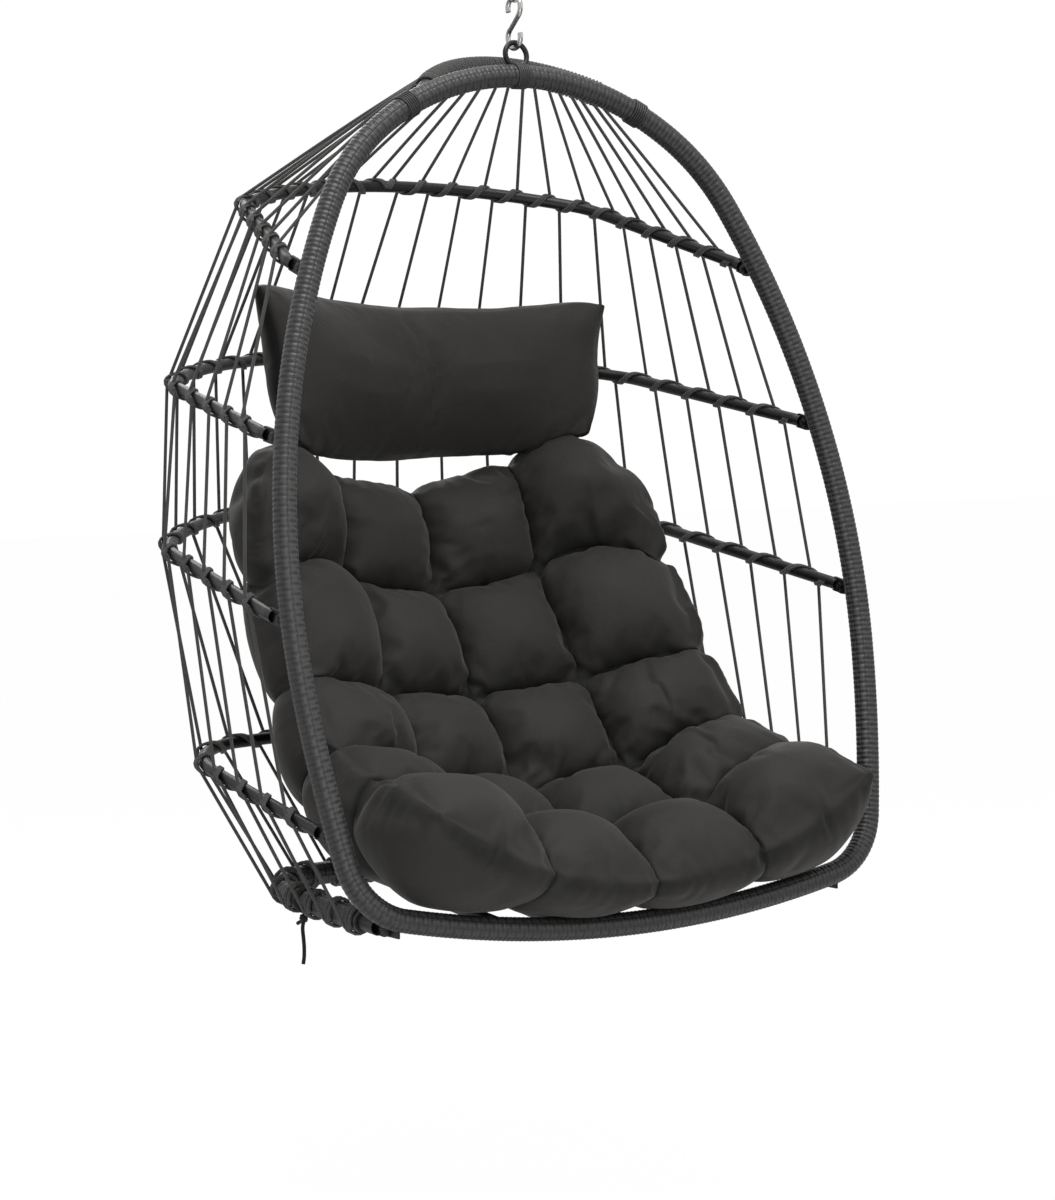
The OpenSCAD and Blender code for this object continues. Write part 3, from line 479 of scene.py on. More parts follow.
def paint_finish():
    f = Finish("black_powder_coat").set(Metallic=0.0, Specular_IOR_Level=0.3)
    orange_peel = f.grain(f.place(), 1400, 2)
    worn = f.grain(f.place(), 35, 5)
    f.colour(f.ramp(worn, [(0.35, grey(0.003)), (0.65, grey(0.007))]))
    f.rough(f.between(worn, 0.3, 0.48))
    f.bumps((orange_peel, 0.00005))
    return f.mat


WEAVE_PITCH = 6.4
TURN_SCALE = TAU / 20 / (WEAVE_PITCH * MM)
CORDS_ROUND = 4
CORD_SCALE = TAU / 20 * CORDS_ROUND


def weave_finish():
    """Flat plastic strip woven over and under lengthwise cords.
    UV: x round the tube, y along it in metres."""
    f = Finish("flat_weave_grey").set(Specular_IOR_Level=0.4)
    along = f.place("UV", scale=(0.02, 1, 1))
    turns = f.wave(along, TURN_SCALE, "Y")
    round_sign = f.signed(f.wave(f.place("UV"), CORD_SCALE, "X"))
    along_sign = f.signed(f.wave(along, TURN_SCALE / 2, "Y"))
    over = f.math("MULTIPLY_ADD", f.math("MULTIPLY", round_sign, along_sign), 0.5, 0.5)
    ridge = f.math("POWER", f.math("ABSOLUTE", round_sign), 0.5)
    drift = f.grain(f.place(), 28, 4)
    speck = f.grain(f.place(), 900, 2)
    # the tone is painted lighter on the ridges, at the crown of each turn and where the strip
    # lies over a cord, and darker between them: painted highlight and shade of the weave's
    # relief; drift is a random tone
    tone = f.total((over, 0.24), (drift, 0.26), (ridge, 0.25), (turns, 0.25))
    f.colour(f.ramp(tone, [(0.15, grey(0.006)), (0.45, grey(0.015)), (0.85, grey(0.038))]))
    f.rough(f.between(speck, 0.36, 0.55))
    f.bumps((over, 0.0007), (ridge, 0.0008), (turns, 0.0004), (speck, 0.00004))
    return f.mat


def lashing_finish():
    """The same strip in single turns, laid side by side."""
    f = Finish("flat_lashing_grey").set(Specular_IOR_Level=0.4)
    drift = f.grain(f.place(), 30, 4)
    speck = f.grain(f.place(), 900, 2)
    f.colour(f.ramp(drift, [(0.3, grey(0.016)), (0.7, grey(0.030))]))
    f.rough(f.between(speck, 0.4, 0.58))
    f.bumps((speck, 0.00005))
    return f.mat


def rope_finish():
    """Braided cord. UV: x round, y along in metres."""
    f = Finish("net_rope_grey").set(Specular_IOR_Level=0.35)
    f.set(Sheen_Weight=0.15, Sheen_Roughness=0.5)
    left, right = (
        f.wave(f.place("UV", scale=(0.32, 50, 1), turn=(0, 0, lay)), 3.0, "Y")
        for lay in (0.6, -0.6)
    )
    braid = f.math("MAXIMUM", left, right)
    drift = f.grain(f.place(), 45, 4)
    # the braid's strands are painted lighter on their crowns and darker in the grooves between
    # them, as painted highlight and shade; drift is a random tone
    tone = f.total((braid, 0.5), (drift, 0.5))
    f.colour(f.ramp(tone, [(0.2, grey(0.018, 0.02)), (0.8, grey(0.056, 0.03))]))
    f.rough(f.between(drift, 0.6, 0.8))
    f.bumps((braid, 0.0004))
    return f.mat


def cloth_finish(name, base):
    """Close satin-faced polyester. A point attribute is 1 on a sewn line, darkening it partly as
    painted shade in its groove, and lower in the seat's channels beside the lines as painted
    shade.
    """
    f = Finish(name).set(Specular_IOR_Level=0.12, Sheen_Weight=0.10, Sheen_Roughness=0.4)
    f.set(Sheen_Tint=(0.80, 0.79, 0.70, 1))
    warp = f.wave(f.place(turn=(0, 0, 0.3)), 420, "X", 0.6)
    weft = f.wave(f.place(turn=(0.3, 0, 0)), 420, "Z", 0.6)
    threads = f.math("MAXIMUM", warp, weft)
    creases = f.grain(f.place(), 26, 5, 0.6, 1.2)
    drift = f.grain(f.place(), 9, 4)
    seam = f.node("ShaderNodeAttribute", attribute_name="seam").outputs["Fac"]
    tone = f.total((threads, 0.25), (drift, 0.75))
    # the attribute darkens the cloth towards the sewn colour on sewn lines, partly as painted
    # shade in their grooves, and as painted shade in the channels beside them
    tone = f.math("SUBTRACT", tone, f.math("MULTIPLY", seam, 0.7))
    sewn, dark, light = grey(base * 0.12, 0.04), grey(base * 0.85, 0.04), grey(base * 1.25, 0.06)
    f.colour(f.ramp(tone, [(0.0, sewn), (0.35, dark), (0.8, light)]))
    f.rough(f.between(creases, 0.52, 0.68))
    f.bumps((threads, 0.00006), (creases, 0.0012), (f.math("SUBTRACT", 1.0, seam), 0.0015))
    return f.mat


bright_steel = metal_finish("bright_nickel_steel", 0.42, 0.18, False)
zinc_steel = metal_finish("brushed_zinc_steel", 0.44, 0.30, True)
black_paint = paint_finish()
grey_weave = weave_finish()
grey_lashing = lashing_finish()
grey_rope = rope_finish()
charcoal = cloth_finish("charcoal_cloth", 0.024)
black_ribbon = cloth_finish("black_ribbon_cloth", 0.012)

ZINC_PARTS = (
    "ceiling_plate",
    "anchor_washers",
    "anchor_nuts",
    "upper_carabiner",
    "upper_gate",
    "screw_sleeve",
    "lower_carabiner",
    "lower_gate",
)
BLACK_STARTS = (
    "ring_frame",
    "ring_lugs",
    "top_arch",
    "hoop_",
    "base_rail",
    "floor_bars",
    "hanging_eye",
)


def node_finish(name):
    if name.startswith(BLACK_STARTS) and not name.endswith("_wrap"):
        return black_paint
    return zinc_steel if name in ZINC_PARTS else bright_steel


def coat(obj, finish):
    obj.data.materials.clear()
    obj.data.materials.append(finish)


for name, part in nodes.items():
    coat(part, node_finish(name))


# ---- pieces ----


def finish_piece(obj, finish, replaced):
    coat(obj, finish)
    for p in obj.data.polygons:
        p.use_smooth = True
    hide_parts(*replaced)
    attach(obj, "chair")


def line_len(points):
    return sum((b - a).length for a, b in zip(points, points[1:]))


def angles(count):
    return [TAU * i / count for i in range(count)]


def tube(name, lines, radius, detail, closed=False):
    """Round strips along lines of points in metres. A point's fourth number, if any, scales its
    radius. The UV map runs round the strip in x, and along it in metres in y."""
    bm = bmesh.new()
    for line in lines:
        curve = bpy.data.curves.new("line", "CURVE")
        curve.dimensions = "3D"
        curve.bevel_depth = radius
        curve.bevel_resolution = detail
        curve.use_fill_caps = not closed
        curve.twist_mode = "MINIMUM"
        spline = curve.splines.new("POLY")
        spline.points.add(len(line) - 1)
        spline.use_cyclic_u = closed
        for point, at in zip(spline.points, line):
            point.co = (at[0], at[1], at[2], 1)
            point.radius = at[3] if len(at) > 3 else 1
        length = line_len([Vector(at[:3]) for at in line])
        holder = bpy.data.objects.new("line", curve)
        mesh = bpy.data.meshes.new_from_object(holder)
        for corner in mesh.uv_layers[0].data:
            corner.uv = (corner.uv[1], corner.uv[0] * length)
        bm.from_mesh(mesh)
        bpy.data.objects.remove(holder)
        bpy.data.curves.remove(curve)
        bpy.data.meshes.remove(mesh)
    bmesh.ops.recalc_face_normals(bm, faces=bm.faces)
    return put_mesh(name, bm)


# ---- weave and lashings ----

# the strip's radius factor across one turn, and how much it drifts
TURN_STEPS = (0.962, 0.99, 1.0, 0.988)
TURN_DRIFT = 0.008
DRIFT_SCALE = 60
ARCH_WEAVE_END = 3
RAIL_BARE = 22
LASHING_TURNS = 6
LASHING_PITCH = 2.9
LASHING_OFF = 14
LASHING_LIFT = 0.6
LASHING_R = 1.45
EYE_STRIP_PITCH = 3.1
EYE_STRIP_LIFT = 0.5
EYE_STRIP_R = 1.5


def weave_line(path, start, to_chair, bare=0):
    """The centre line of a weave over a whole tube, down one side's path and up its mirror
    image, with bare millimetres left out at either end."""
    half = path_len(path) - bare
    count = len(TURN_STEPS) * round(2 * half / WEAVE_PITCH)
    line = []
    for i in range(count + 1):
        d = 2 * half * i / count
        side = 1 if d < half else -1
        x, y, _ = path_at(path, start, bare + (d if d < half else 2 * half - d))
        at = in_chair(to_chair(side * x, y))
        drift = TURN_DRIFT * (0.5 + 0.5 * noise.noise(at * DRIFT_SCALE))
        line.append((*at, TURN_STEPS[i % len(TURN_STEPS)] - drift))
    return line


def make_weave(name, line, radius, detail, node, closed=False):
    weave = tube(name, [line], radius * MM, detail, closed)
    finish_piece(weave, grey_weave, [node])


def make_weaves():
    ring = weave_line(ring_path, ring_start, ring_to_chair)
    make_weave("ring_weave", ring[:-1], WRAP_R, 5, "ring_wrap", closed=True)

    arch = weave_line(arch_path, arch_start, lambda x, y: level_to_chair(ARCH, (x, y, 0)))
    arch = arch[ARCH_WEAVE_END:-ARCH_WEAVE_END]
    make_weave("arch_weave", arch, ARCH_R, 4, "arch_wrap")

    path = hoop_path(RAIL)
    bare = TAB_L + piece_len(path[1]) + RAIL_BARE
    rail = weave_line(path, hoop_start(RAIL), lambda x, y: level_to_chair(BASE, (x, y, 0)), bare)
    make_weave("rail_weave", rail, WRAP_R, 4, "base_rail_wrap")


def crown_ring(x, radius):
    """A closed ring round the crown's tube at x."""
    up = ring_h - crown_r + math.sqrt(crown_r**2 - x * x)
    centre = ring_to_chair(x, up)
    outward = (centre - ring_to_chair(0, ring_h - crown_r)).normalized()
    front = ring_to_chair(0, 0, 1)
    return [
        in_chair(centre + radius * (math.cos(a) * outward + math.sin(a) * front))
        for a in angles(40)
    ]


def turn_places(pitch):
    """The places of a lashing's turns beside its middle."""
    return [(i - (LASHING_TURNS - 1) / 2) * pitch for i in range(LASHING_TURNS)]


def make_lashings():
    out = ARCH_HALF + ARCH_R + LASHING_OFF
    rings = [
        crown_ring(side * (out + x), WRAP_R + LASHING_LIFT)
        for side in (1, -1)
        for x in turn_places(LASHING_PITCH)
    ]
    lashings = tube("arch_lashing_turns", rings, LASHING_R * MM, 1, closed=True)
    finish_piece(lashings, grey_lashing, ["arch_lashings"])

    rings = [crown_ring(x, WRAP_R + EYE_STRIP_LIFT) for x in turn_places(EYE_STRIP_PITCH)]
    strip = tube("eye_strip_turns", rings, EYE_STRIP_R * MM, 1, closed=True)
    finish_piece(strip, grey_lashing, ["eye_strip"])


# ---- rope net ----

HITCH_TURNS = 2
HITCH_STEPS = 32
WINDING_FIRST = 26
WINDING_PITCH = 4.9
WINDING_SINK = 0.7
WINDING_STEPS = 14
PASS_STEPS = 8
ROPE_STEPS = 10
STRAND_R = 1.75
STRAND_SHIFTS = (-3.4, 0, 3.4)
STRAND_LIFT = 1.5
STRAND_STEPS = 22


def both(lines):
    """Chair lines and their mirror images, as places."""
    images = [[mirrored(p) for p in line] for line in lines]
    return [[in_chair(p) for p in line] for line in lines + images]


def base_hitch_line(i):
    """Two turns round the base rail, where a rope of the net ends."""
    d = rope_run(BASE - 1, i)[2]
    out = rope_off(BASE, i, d, 1)
    around = (d - d.project(level_place(BASE, station(BASE, i))[1])).normalized()
    line = []
    for j in range(HITCH_STEPS + 1):
        t = j / HITCH_STEPS
        centre, ahead, _ = level_place(BASE, station(BASE, i) + beside - 2 * beside * t)
        e1 = (out - out.project(ahead)).normalized()
        e2 = (around - around.project(ahead) - around.project(e1)).normalized()
        a = TAU * HITCH_TURNS * t
        line.append(centre + hitch_r(BASE) * (math.cos(a) * e1 + math.sin(a) * e2))
    return line


def arch_winding():
    """Rope wound close round the arch, from its lashing to the middle."""
    turns = (path_len(arch_path) - WINDING_FIRST) / WINDING_PITCH
    r = hitch_r(ARCH) - WINDING_SINK
    line = []
    for j in range(int(turns * WINDING_STEPS) + 1):
        turn = j / WINDING_STEPS
        line.append(around_tube(ARCH, WINDING_FIRST + WINDING_PITCH * turn, TAU * turn, r))
    return line


def rope_pass(n, i):
    """The rope's way along the outside of a hoop, from where it comes down to where it leaves."""
    leave = rope_run(n, i)[2]
    arrive = rope_run(n - 1, i)[2]
    line = []
    for j in range(PASS_STEPS + 1):
        t = j / PASS_STEPS
        centre = level_place(n, station(n, i) + beside * (1 - 2 * t))[0]
        line.append(centre + rope_off(n, i, arrive.lerp(leave, t), hitch_r(n)))
    return line


def binding_lines(n):
    """Flat tape of three strands wound along a hoop, one turn to each rope, over the ropes and
    round the tube."""
    pitch = (path_len(level_paths[n]) - FIRST_STATION) / ROPES_SIDE
    lines = []
    for shift in STRAND_SHIFTS:
        line = []
        for j in range(STRAND_STEPS * ROPES_SIDE + 1):
            turn = j / STRAND_STEPS - 0.5
            a = -TAU * turn
            over_rope = (2 * ROPE_R + HITCH_GAP) * max(0, math.cos(a)) ** 4
            r = level_tube_r[n] + STRAND_LIFT + over_rope
            line.append(around_tube(n, FIRST_STATION + pitch * (turn + 0.5) + shift, a, r))
        lines.append(line)
    return lines


def net_rope_line(n, i):
    """A rope between two levels. At the arch its end bends in to the winding."""
    a, b, d = rope_run(n, i)
    inward = rope_off(ARCH, i, d, -beside) if n == ARCH else Vector()
    steps = [j / ROPE_STEPS for j in range(ROPE_STEPS + 1)]
    return [a.lerp(b, t) + inward * (1 - t) ** 3 for t in steps]


def make_net():
    for n, level in enumerate(LEVEL_NAMES):
        if n == ARCH:
            lines = [arch_winding()]
        elif n == BASE:
            lines = [base_hitch_line(i) for i in range(ROPES_SIDE)]
        else:
            lines = [rope_pass(n, i) for i in range(ROPES_SIDE)]
            binding = tube("hoop_binding_" + level, both(binding_lines(n)), STRAND_R * MM, 1)
            finish_piece(binding, grey_rope, [])
        hitches = tube("rope_hitches_" + level, both(lines), ROPE_R * MM, 1)
        finish_piece(hitches, grey_rope, ["hitches_" + level])
    for n in range(BASE):
        span = LEVEL_NAMES[n] + "_to_" + LEVEL_NAMES[n + 1]
        lines = [net_rope_line(n, i) for i in range(ROPES_SIDE)]
        ropes = tube("net_ropes_" + span, both(lines), ROPE_R * MM, 2)
        finish_piece(ropes, grey_rope, ["ropes_" + span])


make_weaves()
make_lashings()
make_net()


# ---- cushions ----

CLOTH_FRAMES = 20
# the least distance, in metres, between a cover and what it lies on
COVER_GAP = 0.0015
# how far a point looks for what it lies on
COVER_REACH = 0.03
# how near a point lies to the rim, as a share of the whole, to be sewn into it
RIM_SHARE = 0.004

SEAT_T = 128
SEAT_HALF = 345
SEAT_TAPER = 25
SEAT_WING = 125
SEAT_COLS = 4
SEAT_ROWS = 5
SEAT_UNDER = 0.46 * SEAT_T
SEAT_OVER = SEAT_T - SEAT_UNDER
SEAT_SLOPE = 6.4
SEAT_FRONT = -72
SEAT_SINK = 9
SEAT_HANG = 72
SEAT_SWAY = (8, 9)
SEAT_INSET = 8
CHANNEL_PLAIN = 0.5
CHANNEL_TOP = 0.24
CHANNEL_UNDER = 0.6
HANG_STEP = 4
HANG_CLEAR = 0.006
SEAT_EDGE = 5
SEAT_START_EDGE = 4
FRONT_DRAW = 9
HEAD_DRAW = 13
HEAD_WING_RISE = 34
HEAD_MIDDLE_DIP = 16
HEAD_CORNER_CUT = 42
SEAT_NEIGHBOURS = (
    "ring_weave",
    "arch_weave",
    "rail_weave",
    "net_ropes",
    "rope_hitches",
    "hoop_",
    "floor_bars",
    "ring_lugs",
    "base_rail",
)
seat_height = WRAP_R + SEAT_UNDER - SEAT_SINK + SEAT_FRONT * math.tan(deg(SEAT_SLOPE))
seat_start = (SEAT_FRONT, seat_height, SEAT_SLOPE)
seat_line = [(0, 200), (300, 49), (0, 170), (400, 18), (0, 92)]
seat_len = path_len(seat_line)


def to_rim(u, v):
    return min(u, 1 - u, v, 1 - v)


def head_line(w):
    """How far the head end stands above its straight edge: low in the middle, high at the wings
    and cut off at the corners."""
    return (
        HEAD_WING_RISE * math.exp(-(((abs(w) - 0.72) / 0.2) ** 2))
        - HEAD_MIDDLE_DIP * math.exp(-((w / 0.32) ** 2))
        - HEAD_CORNER_CUT * max(0.0, (abs(w) - 0.82) / 0.18) ** 2
    )


def pinch(t, n):
    """1 at a sewn line's end, where it draws the rim in, and 0 between."""
    k = round(t * n)
    return math.exp(-(((t * n - k) / 0.13) ** 2)) if 0 < k < n else 0.0


def seat_mid(u, v):
    """The cushion's middle sheet: u runs across it and v from its front to its head end."""
    w = 2 * u - 1
    front, head = max(0.0, 1 - v / 0.06), max(0.0, 1 - (1 - v) / 0.09)
    drawn = pinch(u, SEAT_COLS) * (FRONT_DRAW * front - HEAD_DRAW * head)
    v = 0.5 + (v - 0.5) * (1 - 0.045 * abs(w) ** 7)
    top = min(1.0, max(0.0, (v - 0.55) / 0.42))
    sway = noise.noise_vector(Vector((u * 3.1, v * 3.9, 5.3)))
    d = v * seat_len + head_line(w) * top * top * (3 - 2 * top) + SEAT_SWAY[1] * sway.y + drawn
    y, z, h = path_at(seat_line, seat_start, d)
    w *= 1 - 0.05 * abs(2 * v - 1) ** 9 - 0.04 * pinch(v, SEAT_ROWS) * abs(w) ** 12
    k = SEAT_WING * abs(w) ** 2.2
    x = w * (SEAT_HALF - SEAT_TAPER * v) + SEAT_SWAY[0] * sway.x
    return Vector((x, y - k * math.sin(deg(h)), z + k * math.cos(deg(h))))


def normal_of(mid, u, v):
    e = 0.01
    a = mid(min(u + e, 1), v) - mid(max(u - e, 0), v)
    b = mid(u, min(v + e, 1)) - mid(u, max(v - e, 0))
    return a.cross(b).normalized()


def edge_rise(t, n):
    return min(1, 2.2 * n * min(t, 1 - t)) ** 0.38


def cell_rise(t, n):
    return abs(math.sin(math.pi * n * t)) ** 0.55


def seat_puff(u, v, channel=CHANNEL_PLAIN):
    """The cover's rise, as a share of its full height; channel is the share on a sewn line."""
    cells = cell_rise(u, SEAT_COLS) * cell_rise(v, SEAT_ROWS)
    return (channel + (1 - channel) * cells) * edge_rise(u, SEAT_COLS) * edge_rise(v, SEAT_ROWS)


def quilt_mesh(name, cols, rows, point):
    """Two sheets of a grid, set in place by point(u, v, side), and joined round their rim."""
    bm = bmesh.new()
    spot = bm.verts.layers.float_vector.new("spot")
    for side in (1, -1):
        made = bmesh.ops.create_grid(bm, x_segments=cols, y_segments=rows, size=0.5)
        for vert in made["verts"]:
            u, v = vert.co.x + 0.5, vert.co.y + 0.5
            vert[spot] = (u, v, side)
            vert.co = point(u, v, side)
        if side < 0:
            faces = list({f for vert in made["verts"] for f in vert.link_faces})
            bmesh.ops.reverse_faces(bm, faces=faces)
    rim = [e for e in bm.edges if e.is_boundary]
    bmesh.ops.bridge_loops(bm, edges=rim)
    bmesh.ops.recalc_face_normals(bm, faces=bm.faces)
    return put_mesh(name, bm)


def inflate(obj, pins, pressure, slack, stiffness):
    """The places of the cover's points once it has swollen as cloth, held at its sewn lines."""
    group = obj.vertex_groups.new(name="sewn")
    for index, weight in pins:
        group.add([index], weight, "REPLACE")
    cloth = obj.modifiers.new("cloth", "CLOTH")
    s = cloth.settings
    s.quality = 5
    s.mass = 0.25
    s.tension_stiffness = stiffness
    s.compression_stiffness = stiffness
    s.shear_stiffness = stiffness / 2
    s.bending_stiffness = 0.06
    s.use_pressure = True
    s.uniform_pressure_force = pressure
    s.vertex_group_mass = "sewn"
    s.pin_stiffness = 1
    s.shrink_min = slack
    s.effector_weights.gravity = 0
    cloth.collision_settings.use_collision = False
    scene = bpy.context.scene
    for f in range(1, CLOTH_FRAMES + 1):
        scene.frame_set(f)
    done = obj.evaluated_get(bpy.context.evaluated_depsgraph_get())
    points = [v.co.copy() for v in done.data.vertices]
    obj.modifiers.remove(cloth)
    obj.vertex_groups.clear()
    scene.frame_set(1)
    return points


def spots(obj):
    """Each point's u, v and side in the cover's grid."""
    return [tuple(a.vector) for a in obj.data.attributes["spot"].data]


def near_line(t, n, width):
    """1 on a sewn line between cells, falling to 0 at width (a share of the whole)."""
    at = t * n
    k = round(at)
    if k == 0 or k == n:
        return 0.0
    return max(0.0, 1 - abs(at - k) / n / width)


def keep_between(obj, surface, mid, points, lift_top, lift_under):
    """Moves the mesh to points, no further out than its CAD surface plus a lift either side."""
    for vert, (u, v, side), p in zip(obj.data.vertices, spots(obj), points):
        out = chair_turn @ (normal_of(mid, u, v) * side)
        lift = (lift_top if side > 0 else lift_under) * MM
        over = (p - in_chair(surface(u, v, side))).dot(out) - lift
        vert.co = p - out * over if over > 0 else p


def surface_tree(starts):
    """The surfaces of every piece whose name begins with one of starts, to find what is near."""
    points, faces = [], []
    for obj in bpy.context.scene.objects:
        if obj.type == "MESH" and obj.name.startswith(starts):
            first = len(points)
            points.extend(obj.matrix_world @ v.co for v in obj.data.vertices)
            faces.extend([first + i for i in p.vertices] for p in obj.data.polygons)
    return BVHTree.FromPolygons(points, faces)


def keep_off(obj, tree):
    """Moves the mesh's points to at least the cover's gap outside the tree's surfaces."""
    for vert in obj.data.vertices:
        near, normal, _, distance = tree.find_nearest(vert.co, COVER_REACH)
        if near:
            above = (vert.co - near).dot(normal)
            if above < COVER_GAP and (distance < COVER_GAP or above < 0):
                vert.co = near + normal * COVER_GAP


def smoothed_table(table):
    """Each value as the mean of itself and its eight neighbours."""
    last_row, last_col = len(table) - 1, len(table[0]) - 1

    def mean(i, j):
        rows = [min(max(j + a, 0), last_row) for a in (-1, 0, 1)]
        cols = [min(max(i + b, 0), last_col) for b in (-1, 0, 1)]
        return sum(table[row][col] for row in rows for col in cols) / 9

    return [[mean(i, j) for i in range(last_col + 1)] for j in range(last_row + 1)]


def hang_room(cols, rows, tree):
    """How far, in millimetres, the underside bulges past its plain form at each point of the
    grid, until it meets the net."""
    table = []
    for j in range(rows + 1):
        row = []
        for i in range(cols + 1):
            u, v = i / cols, j / rows
            normal = -normal_of(seat_mid, u, v)
            rim = edge_rise(u, SEAT_COLS) * edge_rise(v, SEAT_ROWS)
            less = 1 - 0.8 * max(0.0, (v - 0.4) / 0.6)
            want = SEAT_HANG * abs(2 * u - 1) ** 2 * rim * less
            at = in_chair(seat_mid(u, v) + max(SEAT_UNDER * seat_puff(u, v), SEAT_EDGE) * normal)
            out = chair_turn @ normal
            far = 0.0
            while far < want:
                if tree.find_nearest(at + out * (far + HANG_STEP) * MM, HANG_CLEAR)[0]:
                    break
                far += HANG_STEP
            row.append(min(far, want))
        table.append(row)
    for _ in range(3):
        table = smoothed_table(table)
    return table


def finish_cushion(obj, seams, node):
    """Marks the sewn lines and any painted shade beside them, makes the mesh finer and dresses it
    in the cushion cloth.
    """
    layer = obj.data.attributes.new("seam", "FLOAT", "POINT")
    layer.data.foreach_set("value", seams)
    finer = obj.modifiers.new("finer", "SUBSURF")
    finer.levels = finer.render_levels = 1
    finish_piece(obj, charcoal, [node])


def seat_pin(u, v):
    """How firmly a point of the seat is held while it swells: most at the tufts."""
    across, along = near_line(u, SEAT_COLS, 0.012), near_line(v, SEAT_ROWS, 0.010)
    tuft = near_line(u, SEAT_COLS, 0.03) * near_line(v, SEAT_ROWS, 0.025)
    rim = 1.0 if to_rim(u, v) < RIM_SHARE else 0.0
    return max(0.6 * across, 0.6 * along, min(1, 2 * tuft), 0.5 * rim)


# How dark the seat's cloth is at a point: its sewn lines and rim, the lines partly as painted
# shade in their grooves, and painted shade in the broad channels beside the lines.
def seat_seam_and_shade(u, v):
    line = max(near_line(u, SEAT_COLS, 0.014), near_line(v, SEAT_ROWS, 0.011))
    rim = max(0.0, 1 - to_rim(u, v) / 0.007)
    # painted shade in the channels beside the sewn lines
    channel_shade = max(near_line(u, SEAT_COLS, 0.06), near_line(v, SEAT_ROWS, 0.05)) ** 2
    return max(0.85 * line, 0.4 * channel_shade, 0.4 * rim)


def make_seat():
    cols, rows = 96, 120
    tree = surface_tree(SEAT_NEIGHBOURS)
    room = hang_room(cols, rows, tree)

    def raised(u, v, side, rise):
        hang = 0.0 if side > 0 else room[round(v * rows)][round(u * cols)]
        return seat_mid(u, v) + side * (rise + hang) * normal_of(seat_mid, u, v)

    def surface(u, v, side):
        h = SEAT_OVER if side > 0 else SEAT_UNDER
        return raised(u, v, side, max(h * seat_puff(u, v), SEAT_EDGE))

    def start(u, v, side):
        h = (SEAT_OVER if side > 0 else SEAT_UNDER) - SEAT_INSET
        deep = seat_puff(u, v, CHANNEL_TOP if side > 0 else CHANNEL_UNDER)
        return in_chair(raised(u, v, side, max(h * deep, SEAT_START_EDGE)))

    obj = quilt_mesh("seat_cushion_cover", cols, rows, start)
    at = spots(obj)
    pins = [(i, seat_pin(u, v)) for i, (u, v, side) in enumerate(at)]
    pins = [(i, weight) for i, weight in pins if weight > 0.05]
    points = inflate(obj, pins, pressure=6, slack=-0.12, stiffness=8)
    keep_between(obj, surface, seat_mid, points, lift_top=7, lift_under=1)
    keep_off(obj, tree)
    seams = [seat_seam_and_shade(u, v) for u, v, side in at]
    finish_cushion(obj, seams, "seat_cushion")


PILLOW_HALF = 282
PILLOW_RISE = 112
PILLOW_T = 130
PILLOW_FOOT = Vector((12, 540, 685.8))
PILLOW_LEAN = 8
PILLOW_WRAP = 95
PILLOW_INSET = 9
PILLOW_EDGE = 4
PILLOW_START_EDGE = 2
PILLOW_TILT = 15
PILLOW_CORNER = 13
PILLOW_NEIGHBOURS = ("seat_cushion_cover", "net_ropes", "rope_hitches", "hoop_", "ring_weave")


def pillow_mid(u, v):
    """The pillow's middle sheet: u runs across it and v from its lower edge to its top."""
    a, b = 2 * u - 1, 2 * v - 1
    if b > 0:
        wide = 0.10 * b * b
        edge = 0.80 + 0.24 * a * a
        corner = a**10 * b**10
    else:
        wide = -0.04 * b * b - 0.05 * b * b * a**6
        edge = 1.08 - 0.12 * a * a - 0.18 * a**6
        corner = 0.0
    x = PILLOW_HALF * a * (0.92 + wide) * (1 - 0.035 * corner)
    crumple = 3 * noise.noise(Vector((u * 6, v * 3, 1.7)))
    z = PILLOW_RISE * b * edge - PILLOW_TILT * a * max(b, 0.0) + crumple - PILLOW_CORNER * corner
    y = z * math.sin(deg(PILLOW_LEAN)) - PILLOW_WRAP * a * a
    return PILLOW_FOOT + Vector((x, y, z * math.cos(deg(PILLOW_LEAN))))


def pillow_full(u, v):
    return (4 * u * (1 - u)) ** 0.42 * (4 * v * (1 - v)) ** 0.5


def make_pillow():
    cols, rows = 84, 50

    def raised(u, v, side, h):
        return pillow_mid(u, v) + side * h * normal_of(pillow_mid, u, v)

    def surface(u, v, side):
        return raised(u, v, side, max(PILLOW_T / 2 * pillow_full(u, v), PILLOW_EDGE))

    def start(u, v, side):
        h = max((PILLOW_T / 2 - PILLOW_INSET) * pillow_full(u, v), PILLOW_START_EDGE)
        return in_chair(raised(u, v, side, h))

    obj = quilt_mesh("head_pillow_cover", cols, rows, start)
    at = spots(obj)
    pins = [(i, 0.6) for i, (u, v, side) in enumerate(at) if to_rim(u, v) < RIM_SHARE]
    points = inflate(obj, pins, pressure=4, slack=-0.012, stiffness=12)
    keep_between(obj, surface, pillow_mid, points, lift_top=4, lift_under=2)
    keep_off(obj, surface_tree(PILLOW_NEIGHBOURS))
    seams = [max(0.0, 1 - to_rim(u, v) / 0.010) for u, v, side in at]
    finish_cushion(obj, seams, "head_pillow")


# ---- cushion tie on the base rail ----

